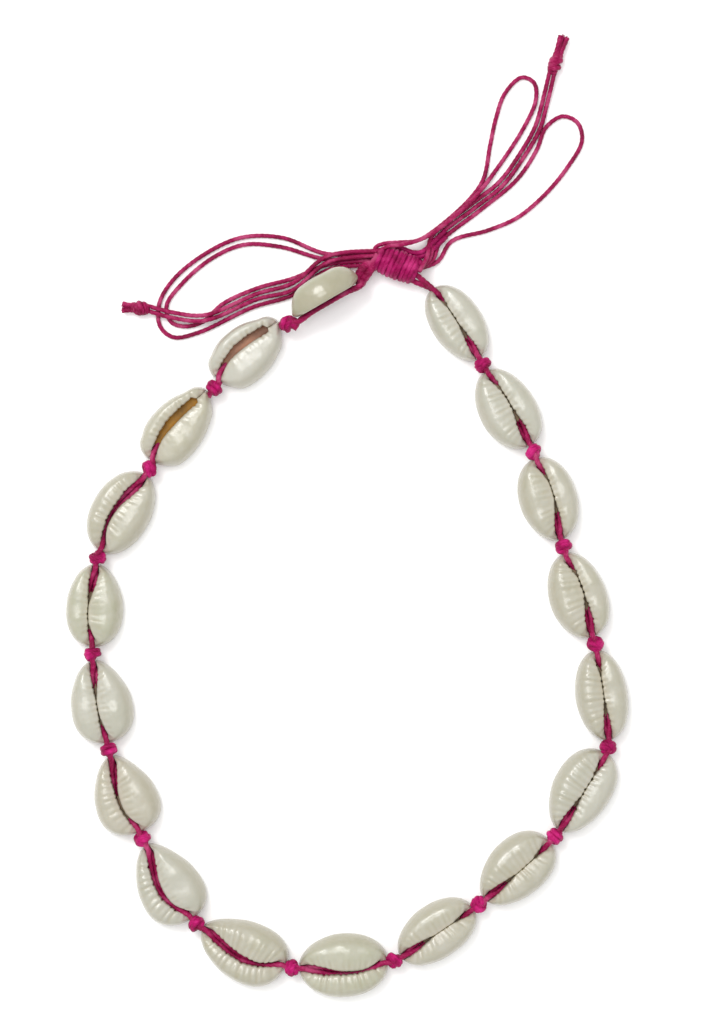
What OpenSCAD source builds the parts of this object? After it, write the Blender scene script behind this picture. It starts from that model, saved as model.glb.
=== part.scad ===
// Cowrie shell necklace, lying on a flat surface at z = 0 with the toothed fronts up.
// Eighteen shells with their backs cut off are strung on two strands, with an
// overhand knot after each shell. A wrapped sliding knot closes the loop, and the
// cord beyond it lies on the surface as bows and as two pairs of knotted tails.
// +Y is the side of the sliding knot, and the origin is below the middle of the loop.

/* [Shells] */
// Height of a shell above its cut back
shell_height = 6.4; // [6:0.1:7]
// Thickness of the wall at the cut back
shell_wall = 1.3; // [1:0.1:1.5]
// Depth of the notch at each end of a shell, along its length
notch_depth = 1; // [0.8:0.1:1.2]
// Width of the notch between the tips of the two lips
notch_width = 2.5; // [2.3:0.1:2.6]
// How far the slot bows towards the outer side of the loop
slot_bow = 1.1; // [0.8:0.1:1.4]
// Depth of the valley between two teeth of a lip
tooth_depth = 0.3; // [0.1:0.1:0.4]

/* [Cord] */
// Diameter of one strand
cord_d = 1; // [0.8:0.1:1]
// Distance between two strands that lie side by side
strand_pitch = 1.1; // [1.1:0.05:1.2]
// Gap between the end of a strand and the knot that it runs into
seat_gap = 0.1; // [0.05:0.05:0.2]

/* [Knots] */
// Diameter of an overhand knot
knot_d = 3.8; // [3.4:0.1:3.9]
// Longest overhand knot along the strands
knot_len = 2.8; // [2.5:0.1:3]
// Length of the sliding knot
slider_len = 9.7; // [9:0.1:10.5]
// Diameter of the sliding knot at its middle
slider_d = 7; // [6.6:0.1:7.2]
// Number of wraps on the sliding knot
slider_wraps = 8; // [6:1:9]

/* [Hidden] */
SHELL_COLOUR = "#d8d2bd";
CORD_COLOUR = "#a31455";
$fn = 32;

// Shells in their order along the strands. The heading is that of the strands
// through the shell, and the roll turns its front towards the outside of the loop.
// Outer and inner are the half widths on the two sides of the slot, and the egg is
// the share by which the upstream end is narrower and the downstream end is wider.
// The gaps are the width of the slot behind its upstream end, at its middle and
// before its downstream end. Strand z is the height of the strands at the middle of
// the shell. Where back is 1, they pass behind its cut back instead.
SHELLS = [
    // x, y, heading, length, outer, inner, egg, roll, gap up, gap mid, gap down, strand z, back
    [-5.2, 73.1, -150, 16.2, 6.6, 6.6, 0, 87, 1.2, 0.5, 0.6, -0.8, 1],
    [-21.4, 58.8, -137.5, 18.9, 6.8, 5.6, 0.15, 0, 1.8, 1.7, 1.2, 2.3, 0],
    [-36.4, 42.4, -129, 20.1, 6.9, 5.4, 0.2, 0, 1.8, 1.7, 1.2, 2.3, 0],
    [-49.5, 23.8, -121, 19.9, 7, 6.4, 0, 0, 1.9, 0.9, 0.6, 2.8, 0],
    [-55.8, 3.4, -92.5, 18.5, 6.2, 6.6, 0.1, 0, 1.5, 0.4, 0.3, 2.3, 0],
    [-54.5, -17.8, -80, 18.7, 6.6, 7.1, 0.2, 0, 1.2, 0.3, 0.6, 2.3, 0],
    [-49, -38.2, -69, 18.2, 7.1, 6.8, 0.3, 0, 1.5, 1, 0.5, 2.8, 0],
    [-39.3, -57.5, -58, 19.4, 7.5, 6.4, 0.3, 0, 1.6, 1.3, 0.9, 3.2, 0],
    [-22.8, -71.8, -24.5, 20.5, 7.6, 6, 0.2, 0, 1.8, 1.5, 0.8, 3.2, 0],
    [-0.9, -75.8, 4, 19.9, 7.2, 7.1, 0, 0, 1.8, 0.7, 0.5, 3.2, 0],
    [19.7, -68.7, 34, 19.6, 5.8, 6.5, 0, 0, 1.5, 0.3, 0.3, 2.3, 0],
    [37.4, -55, 41.5, 19.6, 6.1, 7.1, 0.1, 0, 1.4, 0.3, 0.3, 2.3, 0],
    [51.8, -37.7, 58.5, 20.2, 6.1, 7.1, 0.1, 0, 1.5, 0.4, 0.4, 2.3, 0],
    [56.2, -16.5, 98, 20.2, 5.6, 6.2, -0.05, 0, 1.2, 0.4, 0.3, 2.3, 0],
    [51, 5.6, 108.5, 19.6, 6.1, 6.9, -0.1, 0, 1.6, 0.4, 0.4, 2.3, 0],
    [44.3, 26.8, 107, 19, 6.4, 6.7, 0, 0, 1.3, 0.5, 0.4, 2.3, 0],
    [35.5, 46.8, 120.5, 19.4, 6, 6.9, -0.1, 0, 1.6, 0.5, 0.4, 2.3, 0],
    [24, 65.5, 123, 18.8, 5.9, 5.7, 0, 0, 1.2, 0.4, 0.4, 2.3, 0]];
X = 0;
Y = 1;
HEADING = 2;
LENGTH = 3;
OUTER = 4;
INNER = 5;
EGG = 6;
ROLL = 7;
GAP_UP = 8;
GAP_MID = 9;
GAP_DOWN = 10;
STRAND_Z = 11;
BACK = 12;

// Stations round the slot: one in each end notch and the rest along the two lips
lip_stations = 13;
stations = 2 * lip_stations + 2;
lip_tip_angle = 80;
// The outline is an ellipse with blunter ends
outline_power = 2 / 2.2;
// Share of the half length that the two lips reach along the slot
slot_reach = 0.8;
// Distance from the end of the shell to the inner end of its notch
notch_len = 2.8;
// Share of the height at the floor of a notch
notch_rise = 0.19;
// Share of the height that the front loses towards its ends
front_fall = 0.2;
// Share of the half slot where it starts to widen into the notch, and the share that takes
slot_flare_from = 0.7;
slot_flare_span = 0.28;

// Wall of the shell from the slot over the front to the cut back, as the share of
// the way from the slot to the outline and the share of the height
FRONT_SECTION = [[0, 0.8], [0.25, 1], [0.62, 0.88], [0.9, 0.58], [1, 0.3], [0.95, 0]];
rim_share = 0.95;
thinnest_rim = 0.25;
vault_share = 0.72;
least_vault_lean = 0.05;
vault_rise = 0.56;
lip_root_share = 0.1;
lip_root_rise = 0.62;
section_rows = len(FRONT_SECTION) + 3;

// Heights of the two strands in a notch and where they dive under the slot
notch_strand_z = 3.9;
dive_strand_z = 2.6;
strand_sides = 6;
cord_sides = 8;
// Distances from the end of a shell to its strands' places in the notch and below the
// slot, and how far they bow sideways there and at the middle
strand_back_in = 0.4;
strand_notch_in = 1.6;
strand_dive_in = 3.8;
strand_dive_bow = 0.3;
strand_middle_bow = 0.8;
// Gap that a knot leaves to the end of each shell beside it
knot_gap = 0.15;

function unit(v) = v / norm(v);
function signed_power(v, p) = sign(v) * pow(abs(v), p);
function blend(a, b, t) = a + (b - a) * t;
function clamp(v, low, high) = min(max(v, low), high);

// Angle of a station, from the upstream notch along the outer lip and back
function station_angle(i) =
    let (step = 2 * lip_tip_angle / (lip_stations - 1))
    i == 0 ? -90
    : i <= lip_stations ? -lip_tip_angle + (i - 1) * step
    : i == lip_stations + 1 ? 90
    : 180 - lip_tip_angle + (i - lip_stations - 2) * step;

function in_notch(i) = i == 0 || i == lip_stations + 1;

// Width of the slot at a share v of its half length
function slot_gap(s, v) =
    let (
        end = v < 0 ? s[GAP_UP] : s[GAP_DOWN],
        taper = clamp((abs(v) - slot_flare_from) / slot_flare_span, 0, 1))
    max(blend(s[GAP_MID], end, pow(abs(v), 1.5)), notch_width * taper);

function slot_centre(v) = slot_bow * (1 - v * v);

// Point on the edge of the slot and point on the outline that a station joins
function slot_point(s, i) =
    let (v = sin(station_angle(i)), side = sign(cos(station_angle(i))), valley = (i % 2) * tooth_depth)
    in_notch(i)
    ? [0, sign(v) * (s[LENGTH] / 2 - notch_len)]
    : [slot_centre(v) + side * (slot_gap(s, v) / 2 + valley), slot_reach * v * s[LENGTH] / 2];

function outline_point(s, i) =
    let (
        a = station_angle(i),
        v = sin(a),
        half_width = (cos(a) > 0 ? s[OUTER] : s[INNER]) * (1 + s[EGG] * v))
    in_notch(i)
    ? [0, sign(v) * (s[LENGTH] / 2 - notch_depth)]
    : [half_width * signed_power(cos(a), outline_power),
       s[LENGTH] / 2 * signed_power(v, outline_power)];

function station_rise(i) =
    in_notch(i) ? notch_rise : 1 - front_fall * pow(sin(station_angle(i)), 4);

// Section of the wall at a station, as a closed ring of points
function wall_ring(s, i) =
    let (
        inner = slot_point(s, i),
        outer = outline_point(s, i),
        rim = max(thinnest_rim, rim_share - shell_wall / norm(outer - inner)),
        rows = concat(FRONT_SECTION, [
            [rim, 0],
            [min(vault_share, rim + least_vault_lean), vault_rise],
            [lip_root_share, lip_root_rise]]))
    [for (row = rows)
        let (p = blend(inner, outer, row[0]))
        [p[0], p[1], row[1] * station_rise(i) * shell_height]];

function shell_points(s) = [for (i = [0:stations - 1]) each wall_ring(s, i)];

// Triangles of a grid of rings that closes on itself both ways
function closed_grid(rings, rows) = [
    for (i = [0:rings - 1], j = [0:rows - 1])
        let (
            a = i * rows + j,
            b = i * rows + (j + 1) % rows,
            c = ((i + 1) % rings) * rows + (j + 1) % rows,
            d = ((i + 1) % rings) * rows + j)
        each [[a, c, b], [a, d, c]]];

// A shell rolls about the middle of its height and then rests on its lowest point
function rolled(s, p) =
    let (z = p[2] - shell_height / 2)
    [p[0] * cos(s[ROLL]) + z * sin(s[ROLL]), p[1], z * cos(s[ROLL]) - p[0] * sin(s[ROLL])];

function lift(s) = -min([for (p = shell_points(s)) rolled(s, p)[2]]);

// Place of a point of the shell in the necklace: +Y of the shell is its heading
function placed(s, p) =
    let (q = rolled(s, p), a = s[HEADING] - 90)
    [s[X] + q[0] * cos(a) - q[1] * sin(a),
     s[Y] + q[0] * sin(a) + q[1] * cos(a),
     q[2] + lift(s)];

// Middle of the two strands where they leave a shell, at end -1 or 1
function exit_height(s) = s[BACK] == 1 ? s[STRAND_Z] : notch_strand_z;
function strand_exit(s, end) = placed(s, [0, end * s[LENGTH] / 2, exit_height(s)]);

// An overhand knot sits midway between two shells: centre, axis and length
function knot_ends(i) = [strand_exit(SHELLS[i], 1), strand_exit(SHELLS[i + 1], -1)];
function knot_centre(i) = (knot_ends(i)[0] + knot_ends(i)[1]) / 2;
function knot_axis(i) = unit(knot_ends(i)[1] - knot_ends(i)[0]);
function knot_length(i) = min(knot_len, norm(knot_ends(i)[1] - knot_ends(i)[0]) - 2 * knot_gap);

// Direction in which the two strands are stacked in the notches of a shell
function stack_direction(s) =
    let (a = s[HEADING] - 90)
    [sin(s[ROLL]) * cos(a), sin(s[ROLL]) * sin(a), cos(s[ROLL])];

// The same on the faces of a knot, square to its axis and wider, because it turns there
knot_stack = 1.35;
function knot_stacking(i) =
    let (
        between = stack_direction(SHELLS[i]) + stack_direction(SHELLS[i + 1]),
        a = knot_axis(i))
    knot_stack * unit(between - (between * a) * a);

// Frames of the three larger knots: centre, heading of the axis, length
SLIDER = [[11.1, 78.1, slider_d / 2], -22, slider_len];
LEFT_END = [[-45.8, 68.9, 1.8], 176, 4.4];
RIGHT_END = [[45.8, 122.9, 1.7], 72, 5];

function frame_axis(frame) = [cos(frame[1]), sin(frame[1]), 0];

// Point just off an end face, at a distance to the left of the axis and upwards
function face_point(frame, end, left, up) =
    frame[0] + end * (frame[2] / 2 + seat_gap) * frame_axis(frame)
    + left * [-sin(frame[1]), cos(frame[1]), 0] + [0, 0, up];

// Places of the strands on a face, in strand pitches. Stacked strands are a little
// further apart, because they slope.
ROWS = [-1.5, -0.5, 0.5, 1.5];
half_pitch = strand_pitch / 2;
stack_extra = 0.08;
half_stack = half_pitch + stack_extra;
function slider_seat(end, row, level) =
    face_point(SLIDER, end, ROWS[row] * strand_pitch, level * half_stack);

// Routes of the free cord, from the sliding knot and back to it or to an end knot
LEFT_BOW_A = [
    slider_seat(-1, 3, -1), [-4.5, 81, 0.6], [-14.5, 84.6, 0.5], [-23.5, 84.6, 0.5],
    [-31.5, 81, 0.5], [-38.5, 75.3, 0.5], [-41.6, 70, 0.5], [-41.4, 65, 0.5],
    [-38.5, 62.6, 0.5], [-33, 63.6, 0.5], [-21, 69.2, 0.5], [-12, 72, 0.5],
    [-4.5, 77.4, 0.5], slider_seat(-1, 0, -1)];
LEFT_BOW_B = [
    slider_seat(-1, 2, -1), [-4.5, 79.8, 0.5], [-15, 82.6, 0.5], [-23, 83, 0.5],
    [-30, 80, 0.5], [-36.5, 74.5, 0.5], [-40, 69.5, 0.5], [-39, 66, 0.5],
    [-36, 65, 0.5], [-32, 66, 0.5], [-27.5, 70, 0.5], [-20, 73.4, 0.5],
    [-12, 75.6, 0.5], [-4.5, 78.6, 0.5], slider_seat(-1, 1, -1)];
LEFT_TAIL_A = [
    slider_seat(-1, 3, 1), [-4.5, 80.4, 1.7], [-12, 74.5, 1.6], [-20, 72.2, 0.5],
    [-31.5, 67.4, 1.9], [-38.5, 68, 1.7], face_point(LEFT_END, -1, -half_pitch, 0)];
LEFT_TAIL_B = [
    slider_seat(-1, 2, 1), [-4.5, 79, 1.7], [-12, 73, 1.6], [-20, 71, 0.5],
    [-31.5, 66.2, 1.9], [-38.5, 66.8, 1.7], face_point(LEFT_END, -1, half_pitch, 0)];
RIGHT_BOW_A = [
    [8, 84, 4], [12.5, 85.2, 3.6], [18, 86.2, 1.2], [26.9, 93, 0.5], [30, 97.5, 0.5],
    [31.5, 105, 0.5], [32.8, 111, 0.5], [34.8, 116.5, 0.5], [38.5, 120, 0.5],
    [41.2, 118.8, 0.5], [41.6, 115, 0.5], [39, 109, 0.5], [33.5, 100.5, 0.5],
    [27.3, 92.6, 1.6], [18.3, 85.6, 2.3], [12.5, 84.4, 4.5], [8, 83.2, 4.9]];
RIGHT_BOW_B = [
    slider_seat(1, 3, -3), [20, 79.4, 0.6], [23, 83.8, 0.5], [31, 86.2, 0.5], [37.5, 89, 0.5],
    [43.5, 94, 0.5], [48.5, 100, 0.5], [51.8, 106, 0.5], [50.8, 110, 0.5],
    [47.5, 111.4, 0.5], [43.8, 108.9, 0.5], [41.8, 104, 0.5], [37.4, 97.4, 0.5],
    [29.1, 90.5, 0.5], [20.5, 83.6, 0.6], [18.9, 79.8, 1.5],
    slider_seat(1, 3, -1)];
RIGHT_TAIL_A = [
    slider_seat(1, 3, 3), [17.6, 80.4, 3.8], [18.6, 84.8, 1.2], [27.6, 92.2, 0.5], [33.5, 96.9, 0.5],
    [38, 103, 0.5], [41.4, 109, 0.5], [42.9, 114, 0.8],
    face_point(RIGHT_END, -1, half_pitch, 0)];
RIGHT_TAIL_B = [
    slider_seat(1, 3, 1), [18.2, 80.1, 2.6], [19.5, 84.2, 1], [28.4, 91.4, 0.5], [34.2, 96, 0.5],
    [38.9, 102.3, 0.5], [42.5, 108.6, 0.5], [44, 113.8, 0.8],
    face_point(RIGHT_END, -1, -half_pitch, 0)];

// Ring of points round a strand, square to its direction
function strand_ring(centre, along, sides) =
    let (a = unit(along), across = unit(cross([0, 0, 1], a)), up = cross(a, across))
    [for (k = [0:sides - 1])
        let (t = 360 * (k + 0.5) / sides)
        centre + cord_d / 2 * (cos(t) * across + sin(t) * up)];

// Points of a strand swept along a route, with the directions of its two ends given
function strand_points(route, start, finish, sides) = [
    for (i = [0:len(route) - 1])
        each strand_ring(route[i],
            i == 0 ? start
            : i == len(route) - 1 ? finish
            : unit(route[i] - route[i - 1]) + unit(route[i + 1] - route[i]),
            sides)];

// Faces of a swept strand whose first point has the number base
function strand_faces(rings, sides, base) = concat(
    [[for (k = [0:sides - 1]) base + k]],
    [[for (k = [sides - 1:-1:0]) base + (rings - 1) * sides + k]],
    [for (i = [0:rings - 2], k = [0:sides - 1])
        let (a = base + i * sides + k, b = base + i * sides + (k + 1) % sides)
        each [[a, b + sides, b], [a, a + sides, b + sides]]]);

module cord_tube(route, start, finish) {
    color(CORD_COLOUR)
    polyhedron(strand_points(route, start, finish, cord_sides),
        strand_faces(len(route), cord_sides, 0));
}

// Direction from the first point of a route to its second, and from the last but one on
function first_step(route) = route[1] - route[0];
function last_step(route) = route[len(route) - 1] - route[len(route) - 2];

// Stretch of one strand through a shell, from the knot before it to the knot after.
// The strands lie one above the other in the notches and side by side between them.
stretch_rings = 7;
diagonal_share = 0.8;
diagonal_pitch = diagonal_share * half_pitch;
function knot_seat(i, end, side) =
    knot_centre(i) + end * knot_axis(i) * (knot_length(i) / 2 + seat_gap)
    + side / 2 * knot_stacking(i);
left_seat_up = 0.9;
function diagonal_seat(end, up, side) =
    face_point(SLIDER, end, side * diagonal_pitch - strand_pitch, side * diagonal_pitch + up);
function stretch_start(i, side) =
    i == 0 ? diagonal_seat(-1, left_seat_up, side) : knot_seat(i - 1, 1, side);
function stretch_end(i, side) =
    i == len(SHELLS) - 1 ? diagonal_seat(1, 0, side) : knot_seat(i, -1, side);
function stretch_route(i, side) =
    let (
        s = SHELLS[i],
        end_y = s[LENGTH] / 2 - strand_back_in,
        notch_y = s[LENGTH] / 2 - strand_notch_in,
        dive_y = s[LENGTH] / 2 - strand_dive_in,
        dive_x = strand_dive_bow + side * diagonal_pitch,
        dive_z = dive_strand_z + side * diagonal_pitch)
    concat(
        [stretch_start(i, side)],
        s[BACK] == 1
        ? [for (y = [-end_y, -dive_y, 0, dive_y, end_y])
            placed(s, [-side * half_stack, y, s[STRAND_Z]])]
        : [placed(s, [0, -notch_y, notch_strand_z + side * half_stack]),
           placed(s, [dive_x, -dive_y, dive_z]),
           placed(s, [strand_middle_bow + side * half_pitch, 0, s[STRAND_Z]]),
           placed(s, [dive_x, dive_y, dive_z]),
           placed(s, [0, notch_y, notch_strand_z + side * half_stack])],
        [stretch_end(i, side)]);
function stretch_heading(i) =
    i < 0 ? -frame_axis(SLIDER) : i == len(SHELLS) - 1 ? -frame_axis(SLIDER) : knot_axis(i);

module strand(side) {
    color(CORD_COLOUR)
    polyhedron(
        [for (i = [0:len(SHELLS) - 1])
            each strand_points(stretch_route(i, side), stretch_heading(i - 1),
                stretch_heading(i), strand_sides)],
        [for (i = [0:len(SHELLS) - 1])
            each strand_faces(stretch_rings, strand_sides, i * stretch_rings * strand_sides)]);
}

module shell(i) {
    s = SHELLS[i];
    color(SHELL_COLOUR)
    polyhedron([for (p = shell_points(s)) placed(s, p)], closed_grid(stations, section_rows));
}

// Barrel of cord wraps along +Z, about its middle: rings of cord over a solid core.
// The radius of a wrap is more than half the pitch, so that the wraps run together.
wrap_share = 0.58;
slider_taper = 1;
chain_knot_wraps = 2;
module wrapped_barrel(length, wraps, middle_d, end_d) {
    pitch = length / wraps;
    wrap_r = pitch * wrap_share;
    first = -length / 2 + wrap_r;
    spacing = (length - 2 * wrap_r) / (wraps - 1);
    rotate_extrude($fn = 48)
    union() {
        for (k = [0:wraps - 1])
            let (t = 2 * k / (wraps - 1) - 1)
            translate([blend(middle_d, end_d, t * t) / 2 - wrap_r, first + k * spacing])
            circle(r = wrap_r, $fn = 24);
        translate([0, -length / 2])
        square([end_d / 2 - wrap_r, length]);
    }
}

// Turns the +Z axis of its children to a direction
module aim(direction) {
    d = unit(direction);
    rotate([0, acos(d[2]), atan2(d[1], d[0])])
    children();
}

module overhand_knot(i) {
    color(CORD_COLOUR)
    translate(knot_centre(i))
    aim(knot_axis(i))
    wrapped_barrel(knot_length(i), chain_knot_wraps, knot_d, knot_d);
}

module slider_knot() {
    color(CORD_COLOUR)
    translate(SLIDER[0])
    aim(frame_axis(SLIDER))
    wrapped_barrel(slider_len, slider_wraps, slider_d, slider_d - slider_taper);
}

// End knot on a pair of tails with the flared tip of the cut cords beyond it
end_knot_wraps = 4;
end_knot_taper = 0.3;
tip_root_r = 0.9;
tip_end_r = 1.3;
tip_overlap = 0.2;
left_tip_len = 1.9;
right_tip_len = 4;
module end_knot(frame, tip_len) {
    end_d = 2 * frame[0][2];
    color(CORD_COLOUR)
    translate(frame[0])
    aim(frame_axis(frame)) {
        wrapped_barrel(frame[2], end_knot_wraps, end_d, end_d - end_knot_taper);
        translate([0, 0, frame[2] / 2 - tip_overlap])
        cylinder(r1 = tip_root_r, r2 = tip_end_r, h = tip_len + tip_overlap);
    }
}

for (i = [0:17]) {
    shell(i);
}
for (i = [0:16]) {
    overhand_knot(i);
}
strand(1);  // strand_a
strand(-1);  // strand_b
slider_knot();
cord_tube(LEFT_BOW_A, -frame_axis(SLIDER), frame_axis(SLIDER));  // left_bow_a
cord_tube(LEFT_BOW_B, -frame_axis(SLIDER), frame_axis(SLIDER));  // left_bow_b
cord_tube(LEFT_TAIL_A, -frame_axis(SLIDER), frame_axis(LEFT_END));  // left_tail_a
cord_tube(LEFT_TAIL_B, -frame_axis(SLIDER), frame_axis(LEFT_END));  // left_tail_b
end_knot(LEFT_END, left_tip_len);  // left_end_knot
cord_tube(RIGHT_BOW_A, first_step(RIGHT_BOW_A), last_step(RIGHT_BOW_A));  // right_bow_a
cord_tube(RIGHT_BOW_B, frame_axis(SLIDER), -frame_axis(SLIDER));  // right_bow_b
cord_tube(RIGHT_TAIL_A, frame_axis(SLIDER), frame_axis(RIGHT_END));  // right_tail_a
cord_tube(RIGHT_TAIL_B, frame_axis(SLIDER), frame_axis(RIGHT_END));  // right_tail_b
end_knot(RIGHT_END, right_tip_len);  // right_end_knot
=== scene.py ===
"""Dresses the cowrie shell necklace: shells, knots, strands, loose cord and studio."""
import logging
import math
import random
from dataclasses import dataclass, field
from enum import Enum
from functools import partial
from typing import Callable, Sequence

import bpy
from mathutils import Matrix, Vector


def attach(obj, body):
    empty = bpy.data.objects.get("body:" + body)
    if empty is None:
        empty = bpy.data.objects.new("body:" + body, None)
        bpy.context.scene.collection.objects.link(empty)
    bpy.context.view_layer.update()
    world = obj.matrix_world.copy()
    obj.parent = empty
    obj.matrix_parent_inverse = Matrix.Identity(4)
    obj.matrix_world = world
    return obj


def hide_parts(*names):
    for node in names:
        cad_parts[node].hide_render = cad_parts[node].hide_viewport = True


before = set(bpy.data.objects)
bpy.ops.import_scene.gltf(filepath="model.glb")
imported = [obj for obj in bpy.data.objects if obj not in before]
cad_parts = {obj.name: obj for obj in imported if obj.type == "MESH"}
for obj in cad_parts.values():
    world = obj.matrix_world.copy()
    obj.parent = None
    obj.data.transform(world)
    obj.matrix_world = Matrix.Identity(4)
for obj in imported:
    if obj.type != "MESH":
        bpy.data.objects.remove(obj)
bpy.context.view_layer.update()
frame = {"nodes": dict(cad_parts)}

LOG = logging.getLogger("necklace")
MM = 0.001

# Lengths in millimetres, as everywhere but in Blender's own calls
CORD_D = 1.0
FLAT_Z = CORD_D / 2
STRAND_PITCH = 1.1
HALF_PITCH = STRAND_PITCH / 2
HALF_STACK = HALF_PITCH + 0.08
SEAT_GAP = 0.1
TUCK_IN = 1.2
STRAND_STEP = 0.4
CORD_STEP = 0.35
WIND_STEP = 0.3

Piece = bpy.types.Object
Socket = bpy.types.NodeSocket
Colour = tuple[float, float, float]
Inputs = dict[str | int, object]
Zones = tuple[Sequence[float], Sequence[float]]


def clamp(value: float, low: float = 0.0, high: float = 1.0) -> float:
    """Hold a value between two limits."""
    return min(max(value, low), high)


def blend(a: float, b: float, t: float) -> float:
    """Mix two numbers."""
    return a + (b - a) * t


def smooth(t: float) -> float:
    """Ease a share from 0 to 1 with flat ends."""
    t = clamp(t)
    return t * t * (3 - 2 * t)


def signed_power(value: float, power: float) -> float:
    """Raise a number to a power and keep its sign."""
    return math.copysign(abs(value) ** power, value)


def cos_d(angle: float) -> float:
    """Cosine of an angle in degrees."""
    return math.cos(math.radians(angle))


def sin_d(angle: float) -> float:
    """Sine of an angle in degrees."""
    return math.sin(math.radians(angle))


# Mesh helpers


def deselect() -> None:
    """Clear the selection before an operator acts."""
    if bpy.context.object and bpy.context.object.mode != "OBJECT":
        bpy.ops.object.mode_set(mode="OBJECT")
    bpy.ops.object.select_all(action="DESELECT")


def activate(piece: Piece) -> None:
    """Make one piece the only selected and the active object.

    Args:
        piece: The object to select.
    """
    deselect()
    piece.select_set(True)
    bpy.context.view_layer.objects.active = piece


def settle(piece: Piece) -> None:
    """Put the place of a piece in its mesh, with the object at the origin."""
    activate(piece)
    bpy.ops.object.transform_apply(location=True, rotation=True, scale=True)


def begin(primitive: Callable[..., object], **values: object) -> Piece:
    """Add a primitive with nothing else selected.

    Args:
        primitive: The operator that adds it.
        values: Its size and place.

    Returns:
        The new object.
    """
    deselect()
    primitive(**values)
    return bpy.context.object


def add_object(name: str, data: bpy.types.ID) -> Piece:
    """Put new data in the scene.

    Args:
        name: Name of the object.
        data: Its mesh, camera or lamp.

    Returns:
        The new object.
    """
    added = bpy.data.objects.new(name, data)
    bpy.context.scene.collection.objects.link(added)
    return added


def edit_whole(piece: Piece, *steps: Callable[[], object]) -> None:
    """Run operators on the whole mesh of a piece in edit mode.

    Args:
        piece: The object whose mesh is edited.
        steps: Calls of operators, each with the whole mesh selected.
    """
    activate(piece)
    bpy.ops.object.mode_set(mode="EDIT")
    for step in steps:
        bpy.ops.mesh.select_all(action="SELECT")
        step()
    bpy.ops.object.mode_set(mode="OBJECT")


def face_outwards(piece: Piece) -> None:
    """Recalculate the normals of a closed piece and shade it smooth."""
    edit_whole(piece, partial(bpy.ops.mesh.normals_make_consistent, inside=False))
    bpy.ops.object.shade_smooth()


def join(pieces: Sequence[Piece], name: str) -> Piece:
    """Join several pieces into one.

    Args:
        pieces: The objects to join; the first keeps its materials in front.
        name: Name of the joined piece.

    Returns:
        The joined object.
    """
    activate(pieces[0])
    for piece in pieces[1:]:
        piece.select_set(True)
    if len(pieces) > 1:
        bpy.ops.object.join()
    whole = bpy.context.object
    whole.name = whole.data.name = name
    return whole


def wear(piece: Piece, material: bpy.types.Material) -> None:
    """Give a piece one material."""
    piece.data.materials.clear()
    piece.data.materials.append(material)


def dress(piece: Piece, material: bpy.types.Material, node: str) -> None:
    """Give a finished piece its material, hang it on the root body and hide the imported part of the node
    that it stands for.

    Args:
        piece: The finished piece.
        material: Its one material.
        node: Node of the part that it stands for.
    """
    wear(piece, material)
    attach(piece, "root")
    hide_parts(node)
    LOG.info("%s: %d faces", piece.name, len(piece.data.polygons))


# Cord making


def between(p: Vector, q: Vector, t_p: float, t_q: float, t: float) -> Vector:
    """Mix two points by the place of a value between theirs."""
    return p * ((t_q - t) / (t_q - t_p)) + q * ((t - t_p) / (t_q - t_p))


def smooth_route(points: Sequence[Vector], step: float) -> list[Vector]:
    """Lay one smooth curve through given points and space it evenly.

    Args:
        points: Points of the route, in millimetres.
        step: Distance between the points that come back.

    Returns:
        Points along the curve, from the first point to the last.
    """
    route = [points[0] * 2 - points[1], *points, points[-1] * 2 - points[-2]]
    fine: list[Vector] = []
    cuts = 12
    for a, b, c, d in zip(route, route[1:], route[2:], route[3:]):
        knots = [0.0]
        for p, q in ((a, b), (b, c), (c, d)):
            knots.append(knots[-1] + max((q - p).length, 1e-4) ** 0.5)
        t0, t1, t2, t3 = knots
        for k in range(cuts):
            t = blend(t1, t2, k / cuts)
            a1, a2, a3 = between(a, b, t0, t1, t), between(b, c, t1, t2, t), between(c, d, t2, t3, t)
            b1, b2 = between(a1, a2, t0, t2, t), between(a2, a3, t1, t3, t)
            fine.append(between(b1, b2, t1, t2, t))
    fine.append(points[-1].copy())
    total = route_length(fine)
    count = max(4, round(total / step))
    spaced, walked, k = [fine[0].copy()], 0.0, 0
    for n in range(1, count):
        goal = total * n / count
        while walked + (hop := (fine[k + 1] - fine[k]).length) < goal:
            walked += hop
            k += 1
        spaced.append(fine[k].lerp(fine[k + 1], (goal - walked) / max(hop, 1e-9)))
    spaced.append(fine[-1].copy())
    return spaced


def route_length(points: Sequence[Vector]) -> float:
    """Length of a line of points."""
    return sum((b - a).length for a, b in zip(points, points[1:]))


@dataclass(frozen=True)
class Ply:
    """How a cord is laid up.

    Attributes:
        diameter: Outer diameter in millimetres.
        plies: Number of yarns twisted together.
        groove: Share of the radius that the groove between two yarns takes.
        lay: Length of one full twist in millimetres.
        sides: Points round the cord.
    """

    diameter: float = CORD_D
    plies: int = 3
    groove: float = 0.2
    lay: float = 3.6
    sides: int = 15

    def radius(self, angle: float) -> float:
        """Radius at an angle from the top of a yarn."""
        crest = abs(math.cos(self.plies * angle / 2)) ** 0.7
        return self.diameter / 2 * (1 - self.groove * (1 - crest))


class Lay(Enum):
    """How the cord of each piece is laid up."""

    LOOSE = Ply()
    STRAND = Ply(diameter=1.25, sides=12)
    SQUEEZED = Ply(diameter=1.35, groove=0.16, sides=14)
    KNOT = Ply(diameter=1.35, groove=0.13, lay=4.2, sides=14)
    WRAP = Ply(diameter=1.15, groove=0.13, lay=4.6, sides=14)
    RECESS = Ply(diameter=1.2)
    STUB = Ply(diameter=1.1, sides=12)
    FIBRE = Ply(diameter=0.2, plies=2, sides=5)


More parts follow.
